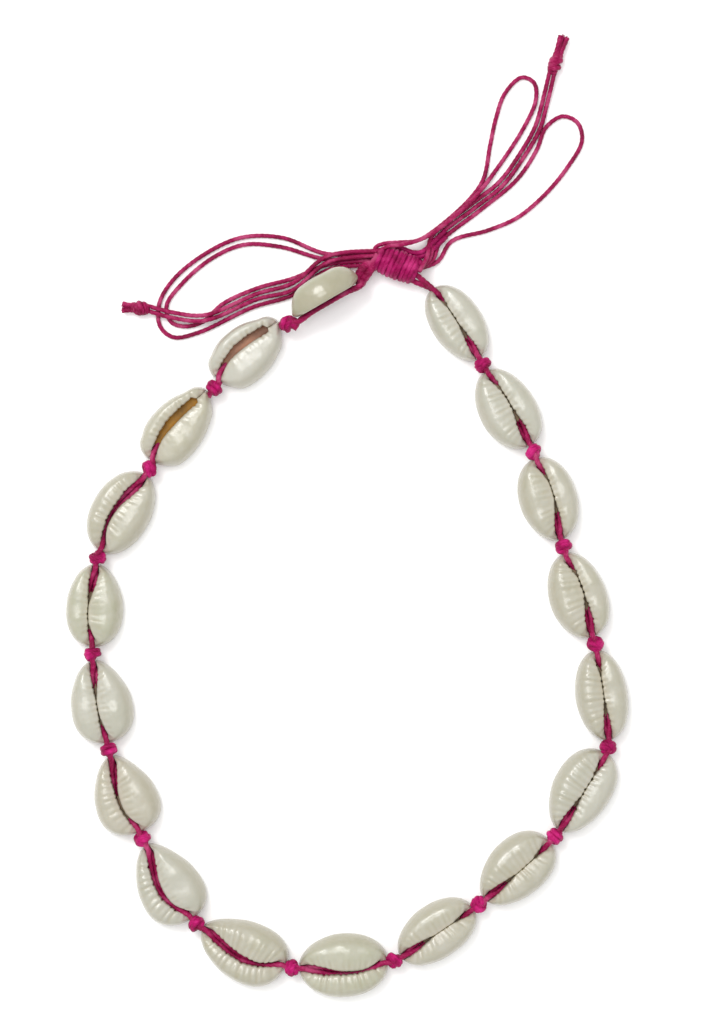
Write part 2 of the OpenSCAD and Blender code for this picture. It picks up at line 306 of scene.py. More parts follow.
def sweep(
    paths: Sequence[Sequence[Vector]],
    name: str,
    lay: Lay,
    swell: Callable[[float], float] = lambda share: 1.0,
) -> Piece:
    """Sweep twisted cord along one or more lines of points as closed tubes.

    Args:
        paths: Lines of points in millimetres.
        name: Name of the piece.
        lay: How the cord is laid up.
        swell: Factor on the thickness at a share of the length.

    Returns:
        One object with a UV map of turns round the cord and millimetres along it.
    """
    ply = lay.value
    verts: list[Vector] = []
    faces: list[tuple[int, ...]] = []
    marks: list[tuple[float, float]] = []
    for number, path in enumerate(paths):
        base, walked = len(verts), 0.0
        total = route_length(path)
        across = Vector((0, 0, 1)).cross(path[1] - path[0])
        if across.length < 1e-6:
            across = Vector((1, 0, 0))
        across.normalize()
        for i, centre in enumerate(path):
            along = (path[min(i + 1, len(path) - 1)] - path[max(i - 1, 0)]).normalized()
            across = (across - along * across.dot(along)).normalized()
            up = along.cross(across)
            if i:
                walked += (centre - path[i - 1]).length
            turn = math.tau * walked / ply.lay + number * 1.7
            scale = swell(walked / total)
            for k in range(ply.sides):
                angle = math.tau * k / ply.sides
                radius = ply.radius(angle - turn) * scale
                verts.append(centre + (across * math.cos(angle) + up * math.sin(angle)) * radius)
                marks.append(((angle - turn) / math.tau, walked))
        rings = len(path)
        for i in range(rings - 1):
            for k in range(ply.sides):
                a, b = base + i * ply.sides + k, base + i * ply.sides + (k + 1) % ply.sides
                faces.append((a, b, b + ply.sides, a + ply.sides))
        faces.append(tuple(base + k for k in reversed(range(ply.sides))))
        faces.append(tuple(base + (rings - 1) * ply.sides + k for k in range(ply.sides)))
    mesh = bpy.data.meshes.new(name)
    mesh.from_pydata([v * MM for v in verts], [], faces)
    layer = mesh.uv_layers.new(name="lay")
    for polygon in mesh.polygons:
        corners = [(loop, marks[mesh.loops[loop].vertex_index]) for loop in polygon.loop_indices]
        turns = [mark[0] for _, mark in corners]
        for loop, mark in corners:
            wrapped = mark[0] - 1 if mark[0] - min(turns) > 0.5 else mark[0]
            layer.data[loop].uv = (wrapped, mark[1])
    piece = add_object(name, mesh)
    face_outwards(piece)
    return piece


# Finishes


def new_material(name: str) -> tuple[bpy.types.Material, "Nodes", bpy.types.Node]:
    """Start a material.

    Args:
        name: Name of the material.

    Returns:
        The material, its nodes and its Principled shader.
    """
    material = bpy.data.materials.new(name)
    material.use_nodes = True
    tree = material.node_tree
    return material, Nodes(tree), tree.nodes["Principled BSDF"]


@dataclass
class Nodes:
    """Short ways to add and link the nodes of one material."""

    tree: bpy.types.NodeTree

    def add(self, kind: str, **values: object) -> bpy.types.Node:
        """Add a node and set its own properties.

        Args:
            kind: Node type without the ShaderNode prefix.
            values: Properties of the node.

        Returns:
            The new node.
        """
        node = self.tree.nodes.new("ShaderNode" + kind)
        for key, value in values.items():
            setattr(node, key, value)
        return node

    def feed(self, node: bpy.types.Node, inputs: Inputs) -> None:
        """Link or set the inputs of a node.

        Args:
            node: The node.
            inputs: A socket to link or a constant value for each input.
        """
        for key, value in inputs.items():
            if isinstance(value, Socket):
                self.tree.links.new(value, node.inputs[key])
            else:
                node.inputs[key].default_value = value

    def result(self, kind: str, output: str | int, inputs: Inputs, **values: object) -> Socket:
        """Add a node, feed it and give one of its outputs.

        Args:
            kind: Node type without the ShaderNode prefix.
            output: The output to give.
            inputs: A socket to link or a constant value for each input.
            values: Properties of the node.

        Returns:
            The output socket.
        """
        node = self.add(kind, **values)
        self.feed(node, inputs)
        return node.outputs[output]

    def noise(self, vector: Socket, scale: float, detail: float = 3.0) -> Socket:
        """Noise from 0 to 1 on a vector, finer with a larger scale."""
        return self.result("TexNoise", "Fac", {"Vector": vector, "Scale": scale, "Detail": detail})

    def scaled(self, value: Socket, low: float, high: float) -> Socket:
        """Spread a value from 0 to 1 between two limits."""
        return self.result("MapRange", "Result", {"Value": value, "To Min": low, "To Max": high})

    def values(self, name: str) -> tuple[Socket, ...]:
        """Read the three values that a vertex attribute holds.

        Args:
            name: Name of the attribute.

        Returns:
            The sockets of its three values.
        """
        parts = self.add("SeparateColor")
        self.feed(parts, {"Color": self.result("Attribute", "Color", {}, attribute_name=name)})
        return tuple(parts.outputs[k] for k in ("Red", "Green", "Blue"))

    def ramp(self, factor: Socket, stops: Sequence[tuple[float, Sequence[float]]]) -> Socket:
        """Colour along a few stops.

        Args:
            factor: Value that picks the place along the ramp.
            stops: Places from 0 to 1, each with its colour.

        Returns:
            The colour socket.
        """
        node = self.add("ValToRGB")
        elements = node.color_ramp.elements
        while len(elements) < len(stops):
            elements.new(0.5)
        for element, (place, colour) in zip(elements, stops):
            element.position = place
            element.color = (*colour, 1)
        self.feed(node, {"Fac": factor})
        return node.outputs["Color"]

    def mix(self, factor: Socket | float, a: Socket | Sequence[float], b: Socket | Sequence[float]) -> Socket:
        """Mix two colours.

        Args:
            factor: Share of the second colour.
            a: First colour, as a socket or three numbers.
            b: Second colour, as a socket or three numbers.

        Returns:
            The mixed colour socket.
        """
        first, second = (c if isinstance(c, Socket) else (*c, 1) for c in (a, b))
        return self.result("Mix", 2, {0: factor, 6: first, 7: second}, data_type="RGBA")

    def bump(self, height: Socket, strength: float, distance: float, normal: Socket | None = None) -> Socket:
        """Bump from a height, on top of another one.

        Args:
            height: Height from 0 to 1.
            strength: Share of the height that acts.
            distance: Distance of a full height in millimetres.
            normal: Normal of the bump below, if there is one.

        Returns:
            The normal socket.
        """
        below = {"Normal": normal} if normal else {}
        return self.result("Bump", "Normal", {"Strength": strength, "Distance": distance * MM,
                                              "Height": height, **below})


@dataclass(frozen=True)
class ShellFinish:
    """Polished cowrie shell: cream enamel, painted reflections of the cord on the lips and ends, tan flanks
    partly painted shade, painted shade in the crease and between the ribs, and a darker inside partly painted
    shade.

    Attributes:
        enamel: Main colour of the front.
        tint: Colour of the soft patches on the front.
        cord_reflection: Painted reflection of the magenta cord on the lips beside the slot.
        inside: Colour of the slot and of the hollow: the shell's darker inside, partly painted shade.
        stain_and_shade: Share of that colour that its dark patches keep.
        shaded_flank: Tan of the sides near the rim, partly the shell's margin and partly painted shade.
        crease_shade: Painted shade, tan, in the crease where the lips meet.
        milk: Colour of the small pale patches.
        tip: Painted reflection of the magenta knots on the two ends.
        groove_shade: Painted shade between the ribs.
    """

    enamel: Colour = (0.388, 0.368, 0.300)
    tint: Colour = (0.343, 0.330, 0.243)
    # Painted reflection of the magenta cord on the lips beside the slot
    cord_reflection: Colour = (0.418, 0.376, 0.302)
    # The shell's darker inside, partly painted shade in the slot and the hollow
    inside: Colour = (0.20, 0.10, 0.055)
    stain_and_shade: float = 0.45
    # Tan of the sides near the rim: partly the shell's margin, partly painted shade
    shaded_flank: Colour = (0.27, 0.24, 0.15)
    # Painted shade in the crease where the lips meet
    crease_shade: Colour = (0.25, 0.21, 0.11)
    milk: Colour = (0.43, 0.415, 0.352)
    # Painted reflection of the magenta knots on the two ends
    tip: Colour = (0.45, 0.35, 0.30)
    # Painted shade between the ribs
    groove_shade: Colour = (0.29, 0.25, 0.15)

    def material(self, name: str) -> bpy.types.Material:
        """Build the material with its patches, painted shade and reflections, growth lines and gloss.

        Args:
            name: Name of the material.

        Returns:
            The material.
        """
        material, nodes, shader = new_material(name)
        place = nodes.add("TexCoord").outputs["Object"]
        # zone: where the painted shade down the slot falls, where the painted shade between the ribs falls,
        # and where the cord's painted reflection lies on the lips
        depth, rib, lip = nodes.values("zone")
        shaded_flank, tip, crease = nodes.values("margin")
        colour = self.enamel
        for amount, low, high, other in (
                # Painted reflection of the cord on the lips beside the slot
                (nodes.noise(place, 150, 2), -0.5, 1.5, self.tint), (lip, 0.0, 0.5, self.cord_reflection),
                # Painted reflection of the knots on the two ends
                (nodes.noise(place, 380, 3), -0.7, 0.9, self.milk), (tip, 0.0, 0.35, self.tip),
                # Painted shade in the grooves between the ribs
                # Painted shade on the flanks, partly the tan margin
                (shaded_flank, 0.0, 0.6, self.shaded_flank), (rib, 0.0, 0.35, self.groove_shade)):
            colour = nodes.mix(nodes.scaled(amount, low, high), colour, other)
        # The inside colour with random darker patches, partly painted shade, laid down into the slot and over
        # the hollow
        dark = [c * self.stain_and_shade for c in self.inside]
        stain_and_shade = nodes.ramp(nodes.noise(place, 260, 4), [(0.35, self.inside), (0.7, dark)])
        colour = nodes.mix(depth, colour, stain_and_shade)
        # Painted shade in the crease where the lips meet
        colour = nodes.mix(nodes.scaled(crease, 0.0, 0.8), colour, self.crease_shade)
        front = nodes.scaled(nodes.noise(place, 500, 3), 0.24, 0.42)
        dull = nodes.result("Math", "Value", {0: front, 1: nodes.scaled(depth, 0.0, 0.65)},
                            operation="MAXIMUM")
        normal = nodes.bump(nodes.result(
            "TexWave", "Fac", {"Vector": place, "Scale": 240, "Distortion": 5.0, "Detail": 2.0},
            wave_type="BANDS", bands_direction="DIAGONAL"), 0.08, 0.02)
        for scale, detail, strength, distance in ((300, 2, 0.8, 0.5), (900, 4, 0.2, 0.05)):
            normal = nodes.bump(nodes.noise(place, scale, detail), strength, distance, normal)
        nodes.feed(shader, {
            "Base Color": colour, "Roughness": dull, "Normal": normal,
            "Coat Weight": nodes.scaled(depth, 0.5, 0.0), "Coat Roughness": 0.15, "IOR": 1.53,
            "Subsurface Weight": 0.15, "Subsurface Radius": (1.0, 0.75, 0.5), "Subsurface Scale": 0.8 * MM})
        return material


class ShellTint(Enum):
    """Casts that the shells of one string show."""

    CREAM = ShellFinish()
    GREENISH = ShellFinish(enamel=(0.384, 0.377, 0.294), tint=(0.334, 0.333, 0.238))
    ROSY = ShellFinish(enamel=(0.396, 0.372, 0.300), tint=(0.354, 0.332, 0.250), cord_reflection=(0.425, 0.36, 0.30))
    COOL = ShellFinish(enamel=(0.402, 0.392, 0.330), tint=(0.360, 0.355, 0.284), cord_reflection=(0.42, 0.385, 0.33))
    YELLOW = ShellFinish(enamel=(0.382, 0.366, 0.298), tint=(0.346, 0.332, 0.252), cord_reflection=(0.40, 0.35, 0.265))
    GOLDEN = ShellFinish(enamel=(0.395, 0.375, 0.297), tint=(0.345, 0.328, 0.236), inside=(0.42, 0.19, 0.002))
    BROWN = ShellFinish(enamel=(0.425, 0.412, 0.355), tint=(0.38, 0.373, 0.308), inside=(0.38, 0.18, 0.105))


@dataclass(frozen=True)
class CordFinish:
    """Waxed magenta cord with fibres along its twist.

    Attributes:
        lit: Painted highlight, a lit copy of the cord's colour.
        body: Main colour.
        deep: Painted shade, a shaded copy of the cord's colour.
    """

    # Painted highlight: a lit copy of the cord's colour
    lit: Colour = (0.50, 0.085, 0.20)
    body: Colour = (0.27, 0.002, 0.058)
    # Painted shade: a shaded copy of the cord's colour
    deep: Colour = (0.10, 0.001, 0.012)

    def material(self, name: str) -> bpy.types.Material:
        """Build the material with fibres, painted highlight and shade in patches and along the fibres, and a
        soft sheen.

        Args:
            name: Name of the material.

        Returns:
            The material.
        """
        material, nodes, shader = new_material(name)
        place = nodes.add("TexCoord").outputs["Object"]
        lay = nodes.add("UVMap", uv_map="lay").outputs["UV"]
        along = nodes.result("Mapping", "Vector", {"Vector": lay, "Scale": (9.0, 0.55, 1.0)})
        fibre = nodes.noise(along, 3.0, 5)
        shades = (self.deep, self.body, self.lit)
        # Painted highlight and shade: lit and shaded copies of the cord's colour, in random patches and along
        # the fibres
        patches = nodes.ramp(nodes.noise(place, 330, 3), list(zip((0.36, 0.50, 0.66), shades)))
        lit_and_shaded_fibres = nodes.ramp(fibre, list(zip((0.34, 0.52, 0.70), shades)))
        nodes.feed(shader, {
            "Base Color": nodes.mix(0.5, patches, lit_and_shaded_fibres), "Roughness": nodes.scaled(fibre, 0.36, 0.60),
            "Specular IOR Level": 0.22, "Specular Tint": (1.0, 0.45, 0.75, 1),
            "Normal": nodes.bump(fibre, 0.6, 0.12)})
        return material


class CordWax(Enum):
    """Looks of the one cord: loose, and on the knots lighter copies of its colours as painted light."""

    LOOSE = CordFinish()
    # Painted light: the knots wear lighter copies of the same cord's colours
    OVERHAND = CordFinish(lit=(0.62, 0.03, 0.22), body=(0.36, 0.003, 0.095))
    WRAPPED = CordFinish(lit=(0.56, 0.04, 0.20), body=(0.29, 0.002, 0.075), deep=(0.11, 0.001, 0.018))


@dataclass(frozen=True)
class TableFinish:
    """Plain pale table under the necklace."""

    colour: Colour = (0.97, 0.97, 0.97)

    def material(self, name: str) -> bpy.types.Material:
        """Build a matt white with the faintest unevenness.

        Args:
            name: Name of the material.

        Returns:
            The material.
        """
        material, nodes, shader = new_material(name)
        place = nodes.add("TexCoord").outputs["Object"]
        low = [c * 0.99 for c in self.colour]
        nodes.feed(shader, {"Base Color": nodes.mix(nodes.noise(place, 40), self.colour, low),
                            "Roughness": 0.9, "Specular IOR Level": 0.1})
        return material


# Shells


@dataclass(frozen=True)
class Notch:
    """The gap between the tips of the two lips at one end of a shell.

    Attributes:
        floor: Half width of its floor in millimetres.
        mouth: Half width at which its walls are fully up.
        depth: How far it cuts into the outline, along the shell.
        rise: Share of the height that its floor keeps.
        closed: Whether the lips meet over the strands before they reach it.
    """

    floor: float
    mouth: float
    depth: float
    rise: float
    closed: bool = False

    def climb(self, x: float) -> float:
        """Share of its walls' height at a distance from its middle."""
        t = clamp((x - self.floor) / (self.mouth - self.floor))
        return (1 - (1 - t) ** 2.2) ** 0.6


class EndShape(Enum):
    """Shapes of the ends of a shell."""

    WIDE = Notch(0.4, 0.85, 0.7, 0.22)
    NARROW = Notch(0.18, 0.62, 0.7, 0.22)
    CLOSED = Notch(0.1, 0.7, 0.2, 0.9, closed=True)


@dataclass
class Shell:
    """One cowrie with its back cut off, its toothed front up.

    Attributes:
        number: Place along the strands, from 1.
        x: Middle of the shell, in millimetres.
        y: Middle of the shell, in millimetres.
        heading: Direction of the strands through it, in degrees.
        length: Length between its ends.
        outer: Half width on the outer side of the loop.
        inner: Half width on the inner side.
        egg: Share by which the upstream end is narrower.
        gaps: Widths of the slot behind its upstream end, at its middle and before its other end.
        ribs: Lengths of the ribs on the inner and on the outer lip.
        jag: Depth of the valleys between the teeth.
        tint: Cast of its enamel.
        slot_bow: How far the slot bows to the outer side.
        strand_z: Height of the strands at the middle of the shell.
        upstream: Shape of the end that the strands come from.
        whorl: Shares of the half length between which the inner whorl fills the slot.
        falls: Shares of the height that the front loses at its two ends.
        slot_shift: How far the whole slot lies to the outer side.
        roll: Turn about its long axis, in degrees.
        back: Whether the strands pass behind its cut back.
        tuck: Share of the half length by which the ends draw in towards the cut rim.
        height: Height of the front over the cut rim.
        relief: Depth of the grooves between the ribs, over that of the teeth.
        wall: Thickness of the wall at the rim.
        notch_len: Length of a notch.
        slot_reach: Share of the half length that the slot takes.
        tooth_pitch: Distance between two teeth.
        stations: Number of sections round the shell.
        segment_rows: Points to each corner of a section.
    """

    number: int
    x: float
    y: float
    heading: float
    length: float
    outer: float
    inner: float
    egg: float
    gaps: tuple[float, float, float]
    ribs: tuple[float, float]
    jag: float
    tint: ShellTint
    slot_bow: float
    strand_z: float = 2.8
    upstream: EndShape = EndShape.WIDE
    whorl: tuple[float, float] = (-0.4, 0.8)
    falls: tuple[float, float] = (0.24, 0.24)
    slot_shift: float = 0.0
    roll: float = 0.0
    back: bool = False
    tuck: float = 0.03
    height: float = 6.4
    relief: float = 0.13
    wall: float = 1.3
    notch_len: float = 2.3
    slot_reach: float = 0.8
    tooth_pitch: float = 1.25
    stations: int = 400
    segment_rows: int = 2
    lift: float = field(init=False, default=0.0)
    points: list[Vector] = field(init=False, repr=False, default_factory=list)
    zones: list[Zones] = field(init=False, repr=False, default_factory=list)

    # Powers that shape the outline: along the shell, across its upstream end, across its downstream end
    OUTLINE_POWERS = (0.91, 1.15, 0.98)
    # Share of the way from the slot to the outline, share of the height
    FRONT = ((0.0, 0.72), (0.010, 0.83), (0.03, 0.91), (0.09, 0.96), (0.26, 0.99), (0.50, 1.0), (0.67, 0.975),
             (0.80, 0.89), (0.90, 0.73), (0.965, 0.52), (1.0, 0.3), (0.99, 0.12), (0.955, 0.012))
    # Bulge of the outer side, pinch of the inner side and its further pinch upstream
    BULGE, PINCH, FURTHER_PINCH = 0.3, 0.3, 0.25
    # Reach and fade of the teeth into the slot, and the jag at which the grooves have their full relief
    TOOTH_REACH, TOOTH_FADE, FULL_JAG = 1.3, 0.25, 0.25
    # Half width and height of the arch over the strands in a closed end
    ARCH_HALF, ARCH_Z = 1.7, 4.1
    # Distance at which the points of the closed seams merge
    MERGE = 0.002
    # Half width, share of the half length, half height and middle height of the inner whorl
    WHORL = (1.7, 0.88, 0.6, 3.55)

    def __post_init__(self) -> None:
        """Shape the wall, and lift a rolled shell to rest on its lowest point."""
        pairs = [pair for i in range(self.stations) for pair in self.ring(i)]
        self.points = [p for p, _ in pairs]
        self.zones = [zones for _, zones in pairs]
        self.lift = -min(self.rolled(p).z for p in self.points)

    @property
    def node(self) -> str:
        """Name of the shell's node."""
        return f"shell_{self.number:02d}"

    def rolled(self, p: Vector) -> Vector:
        """Turn a point about the long axis at half the height."""
        z = p.z - self.height / 2
        return Vector((p.x * cos_d(self.roll) + z * sin_d(self.roll), p.y,
                       z * cos_d(self.roll) - p.x * sin_d(self.roll)))

    def placed(self, p: Vector) -> Vector:
        """Place of a point of the shell in the necklace."""
        q, a = self.rolled(p), self.heading - 90
        return Vector((self.x + q.x * cos_d(a) - q.y * sin_d(a),
                       self.y + q.x * sin_d(a) + q.y * cos_d(a), q.z + self.lift))

    def stack_direction(self) -> Vector:
        """Direction in which the strands are stacked in the notches."""
        a = self.heading - 90
        return Vector((sin_d(self.roll) * cos_d(a), sin_d(self.roll) * sin_d(a), cos_d(self.roll)))

    def notch(self, end: float) -> Notch:
        """Notch at the end that the strands come from, -1, or leave by, 1."""
        return self.upstream.value if end < 0 else EndShape.NARROW.value

    def station_angle(self, i: int) -> float:
        """Angle of a station from the upstream notch along the outer lip, closer at the ends."""
        turn = 360 * i / self.stations
        return turn - 90 - 0.35 * math.degrees(math.sin(math.radians(2 * turn))) / 2

    def shut(self, v: float) -> float:
        """Share by which the lips have met over the strands."""
        return smooth((abs(v) - 0.80) / 0.10) if self.notch(v).closed else 0.0

    def slot_gap(self, v: float) -> float:
        """Width of the slot.

        Args:
            v: Share of the half length, from -1 to 1.

        Returns:
            The width there.
        """
        notch = self.notch(v)
        wide = blend(self.gaps[1], self.gaps[0 if v < 0 else 2], smooth(abs(v) / 0.75))
        if notch.closed:
            return blend(wide, 0.12, self.shut(v))
        return blend(wide, 2 * notch.mouth, clamp((abs(v) - 0.5) / 0.48) ** 1.3)

    def slot_middle(self, v: float) -> float:
        """Sideways place of the middle of the slot."""
        return self.slot_bow * (1 - v * v) * (1 + 0.4 * v) + self.slot_shift

    def ring(self, i: int) -> list[tuple[Vector, Zones]]:
        """Points of the wall at one station.

        Args:
            i: Number of the station.

        Returns:
            Points with their depth, rib and lip values and their flank, tip and seam values.
        """
        angle = self.station_angle(i)
        v, side = sin_d(angle), math.copysign(1, cos_d(angle))
        end, off = math.copysign(1, v), 90 - math.degrees(math.asin(clamp(abs(v))))
        notch = self.notch(end)
        if side > 0:
            half = self.outer * (1 + self.egg * v) + self.BULGE * smooth((-v - 0.5) / 0.3)
        else:
            half = self.inner * (1 + self.egg * v) - self.PINCH - self.FURTHER_PINCH * smooth(-2 * v)
        along, up, down = self.OUTLINE_POWERS
        outline_x = half * signed_power(cos_d(angle), up if v < 0 else down)
        floor = 1 - notch.climb(abs(outline_x))
        shoulder = 1 - smooth((abs(outline_x) - notch.floor) / 3)
        gap = self.slot_gap(v)
        lean = 0.85 * self.slot_shift * smooth((abs(v) - 0.6) / 0.4)
        edge_x = self.slot_middle(v) + side * gap / 2
        if off < 9:
            edge_x = blend(lean, edge_x, (off / 9) ** 0.6)
        edge_y = blend(self.slot_reach * v * self.length / 2, end * (self.length / 2 - self.notch_len), floor)
        outline = Vector((outline_x + lean,
                          self.length / 2 * signed_power(v, along) - end * notch.depth * floor, 0))
        edge = Vector((edge_x, edge_y, 0))
        reach = (outline - edge).length
        fall = self.falls[0 if v < 0 else 1]
        rise = (1 - fall * v ** 4) * blend(1, notch.rise, floor) * (1 - 0.13 * shoulder) * self.height
        rise *= 1 + 0.011 * math.sin(1.3 * edge_y + 2 * self.number + side) * (1 - v * v)
        rows = [*self.FRONT, *self.back_rows(max(0.25, 0.95 - self.wall / reach))]
        shut = self.shut(end * abs(v))
        closing = smooth((0.3 - gap) / 0.2)
        groove, teeth, ribs = self.groove(v, side, edge_y)
        groove *= (1 - floor) * (1 - shut)
        meeting = smooth((0.45 - gap) / 0.3)
        inlet = smooth((0.92 - abs(v)) / 0.12)
        dressed = []
        for j, (share, height) in enumerate(self.rounded(rows)):
            p = edge.lerp(outline, share)
            far = abs(share) * reach
            outside = j < len(self.FRONT) * self.segment_rows
            if outside and share < 0.5:
                height = blend(height, max(height, 0.96), max(shut, 0.8 * closing))
            p.x += side * self.TOOTH_REACH * self.jag * groove ** 2 * teeth * math.exp(-far / self.TOOTH_FADE)
            fade = smooth((1.3 * ribs + 0.4 - far) / (0.6 * ribs)) * blend(smooth(far / 1.3), 1, teeth)
            front = smooth((height - 0.6) / 0.15) if outside and share < 0.9 else 0.0
            low = clamp(1 - height / 0.5) ** 2.5
            p.y -= self.tuck * low * abs(v) ** 3 * end * self.length / 2
            vault = math.sqrt(1 - min(abs(p.x) / self.ARCH_HALF, 1) ** 2)
            arch = 0.0 if self.back else self.ARCH_Z * vault * shut
            p.z = max(height * rise - self.relief * self.jag / self.FULL_JAG * groove * fade * front, arch)
            # Painted shade: the inside colour down into the slot, less near the notches, and in full on the
            # inner rows
            depth = smooth((0.84 - height) / 0.12) * 0.85 * inlet if share < 0.3 else 0.0
            # Painted shade on the flanks, growing towards the rim, partly the tan margin
            shaded_flank = smooth((share - 0.62) / 0.38)
            # Painted shade along the crease where the lips nearly meet, deepest in the grooves between the
            # teeth
            crease_shade = meeting * (0.35 + 0.65 * groove) * smooth(1 - far / 0.4)
            # The second zone value places the painted shade between the ribs
            # The third zone value places the painted reflection of the cord on the lips
            zone = (depth if outside else 1.0, groove * fade * front, smooth(1 - far / 1.8))
            # The second margin value places the painted reflection of the knots on the ends
            margin = (shaded_flank if outside else 0.0, smooth((abs(v) - 0.93) / 0.07), crease_shade)
            dressed.append((p, (zone, margin)))
        return dressed

    def groove(self, v: float, side: float, y: float) -> tuple[float, float, float]:
        """Shape the groove between two ribs.

        Args:
            v: Share of the half length.
            side: 1 on the outer lip, -1 on the inner one.
            y: Place along the slot.

        Returns:
            Depth of the groove, share of teeth at the edge and rib length.
        """
        inner_rib, outer_rib = self.ribs
        teeth = 1.0 if side > 0 or inner_rib >= 3 else blend(0.2, 1.0, smooth((-v - 0.25) / 0.3))
        phase = self.number * 1.3 + (0 if side > 0 or self.gaps[1] < 0.2 else math.pi)
        wobble = 0.6 * math.sin(y * 0.9 + self.number) + 0.35 * math.sin(y * 2.3 + side)
        wave = 0.5 + 0.5 * math.cos(math.tau * y / self.tooth_pitch + phase + wobble)
        uneven = 0.72 + 0.28 * math.sin(y * 1.7 + 2 * self.number + side)
        depth = (1 - wave) ** 1.2 * uneven * smooth((0.985 - abs(v)) / 0.12)
        return depth, teeth, outer_rib if side > 0 else inner_rib

    @staticmethod
    def back_rows(rim: float) -> list[tuple[float, float]]:
        """Rows of the section from the cut rim over the vault back to the slot."""
        return [(blend(rim, 0.95, 0.5), 0.0), (rim + 0.01, 0.012), (rim - 0.01, 0.2),
                (min(0.72, rim + 0.05), 0.5), (0.45, 0.66), (0.16, 0.58), (0.03, 0.53), (-0.012, 0.59)]

    def rounded(self, rows: Sequence[tuple[float, float]]) -> list[tuple[float, float]]:
        """Round a closed section by points between its rows.

        Args:
            rows: Corners of the section.

        Returns:
            The section with evenly added points.
        """
        count, fine = len(rows), []
        for k in range(count):
            a, b, c, d = (rows[(k + m) % count] for m in (-1, 0, 1, 2))
            for n in range(self.segment_rows):
                t = n / self.segment_rows
                fine.append(tuple(
                    0.5 * (2 * b[m] + (c[m] - a[m]) * t + (2 * a[m] - 5 * b[m] + 4 * c[m] - d[m]) * t * t
                           + (3 * b[m] - a[m] - 3 * c[m] + d[m]) * t ** 3) for m in (0, 1)))
        return [(share, max(height, 0.0)) for share, height in fine]

    def build(self) -> Piece:
        """Wrap a grid primitive into the shell's wall, row by row, and close its seams.

        Returns:
            The shell, in its place.
        """
        rows = len(self.points) // self.stations
        piece = begin(bpy.ops.mesh.primitive_grid_add,
                      x_subdivisions=self.stations, y_subdivisions=rows, size=self.length * MM)
        zones = []
        for k, vertex in enumerate(piece.data.vertices):
            row, station = divmod(k, self.stations + 1)
            at = station % self.stations * rows + row % rows
            vertex.co = self.placed(self.points[at]) * MM
            zones.append(self.zones[at])
        self.mark(piece, zones)
        edit_whole(piece, partial(bpy.ops.mesh.remove_doubles, threshold=self.MERGE * MM))
        face_outwards(piece)
        return join([piece, *self.inner_whorl()], f"cowrie_{self.number:02d}")

    @staticmethod
    def mark(piece: Piece, zones: Sequence[Zones]) -> None:
        """Store the zone and margin values of every vertex.

        Args:
            piece: The object.
            zones: Both triples of values for each of its vertices.
        """
        for k, name in enumerate(("zone", "margin")):
            layer = piece.data.color_attributes.new(name=name, type="FLOAT_COLOR", domain="POINT")
            for item, values in zip(layer.data, zones):
                item.color = (*values[k], 1)

    def inner_whorl(self) -> list[Piece]:
        """Shape the rounded inner whorl that closes the view through the slot.

        Returns:
            The whorl in a list, or an empty list for a shell without one.
        """
        low, high = self.whorl
        if high <= low:
            return []
        piece = begin(bpy.ops.mesh.primitive_uv_sphere_add, segments=40, ring_count=20, radius=MM)
        across, share, up, z = self.WHORL
        reach = self.length / 2 * self.slot_reach
        along = (high - low) / 2 * self.length / 2 * share
        for vertex in piece.data.vertices:
            p = Vector(vertex.co / MM)
            y = p.y * along + (low + high) / 2 * self.length / 2 * self.slot_reach
            middle = self.slot_middle(clamp(y / reach, -1, 1))
            vertex.co = self.placed(Vector((p.x * across + middle, y, z + p.z * up))) * MM
        # The whorl takes the inside colour in full, partly painted shade, and half the painted crease shade
        # where the lips nearly meet
        shade = 0.5 if self.gaps[1] < 0.5 else 0.0
        self.mark(piece, [((1.0, 0.0, 0.0), (0.0, 0.0, shade))] * len(piece.data.vertices))
        face_outwards(piece)
        return [piece]


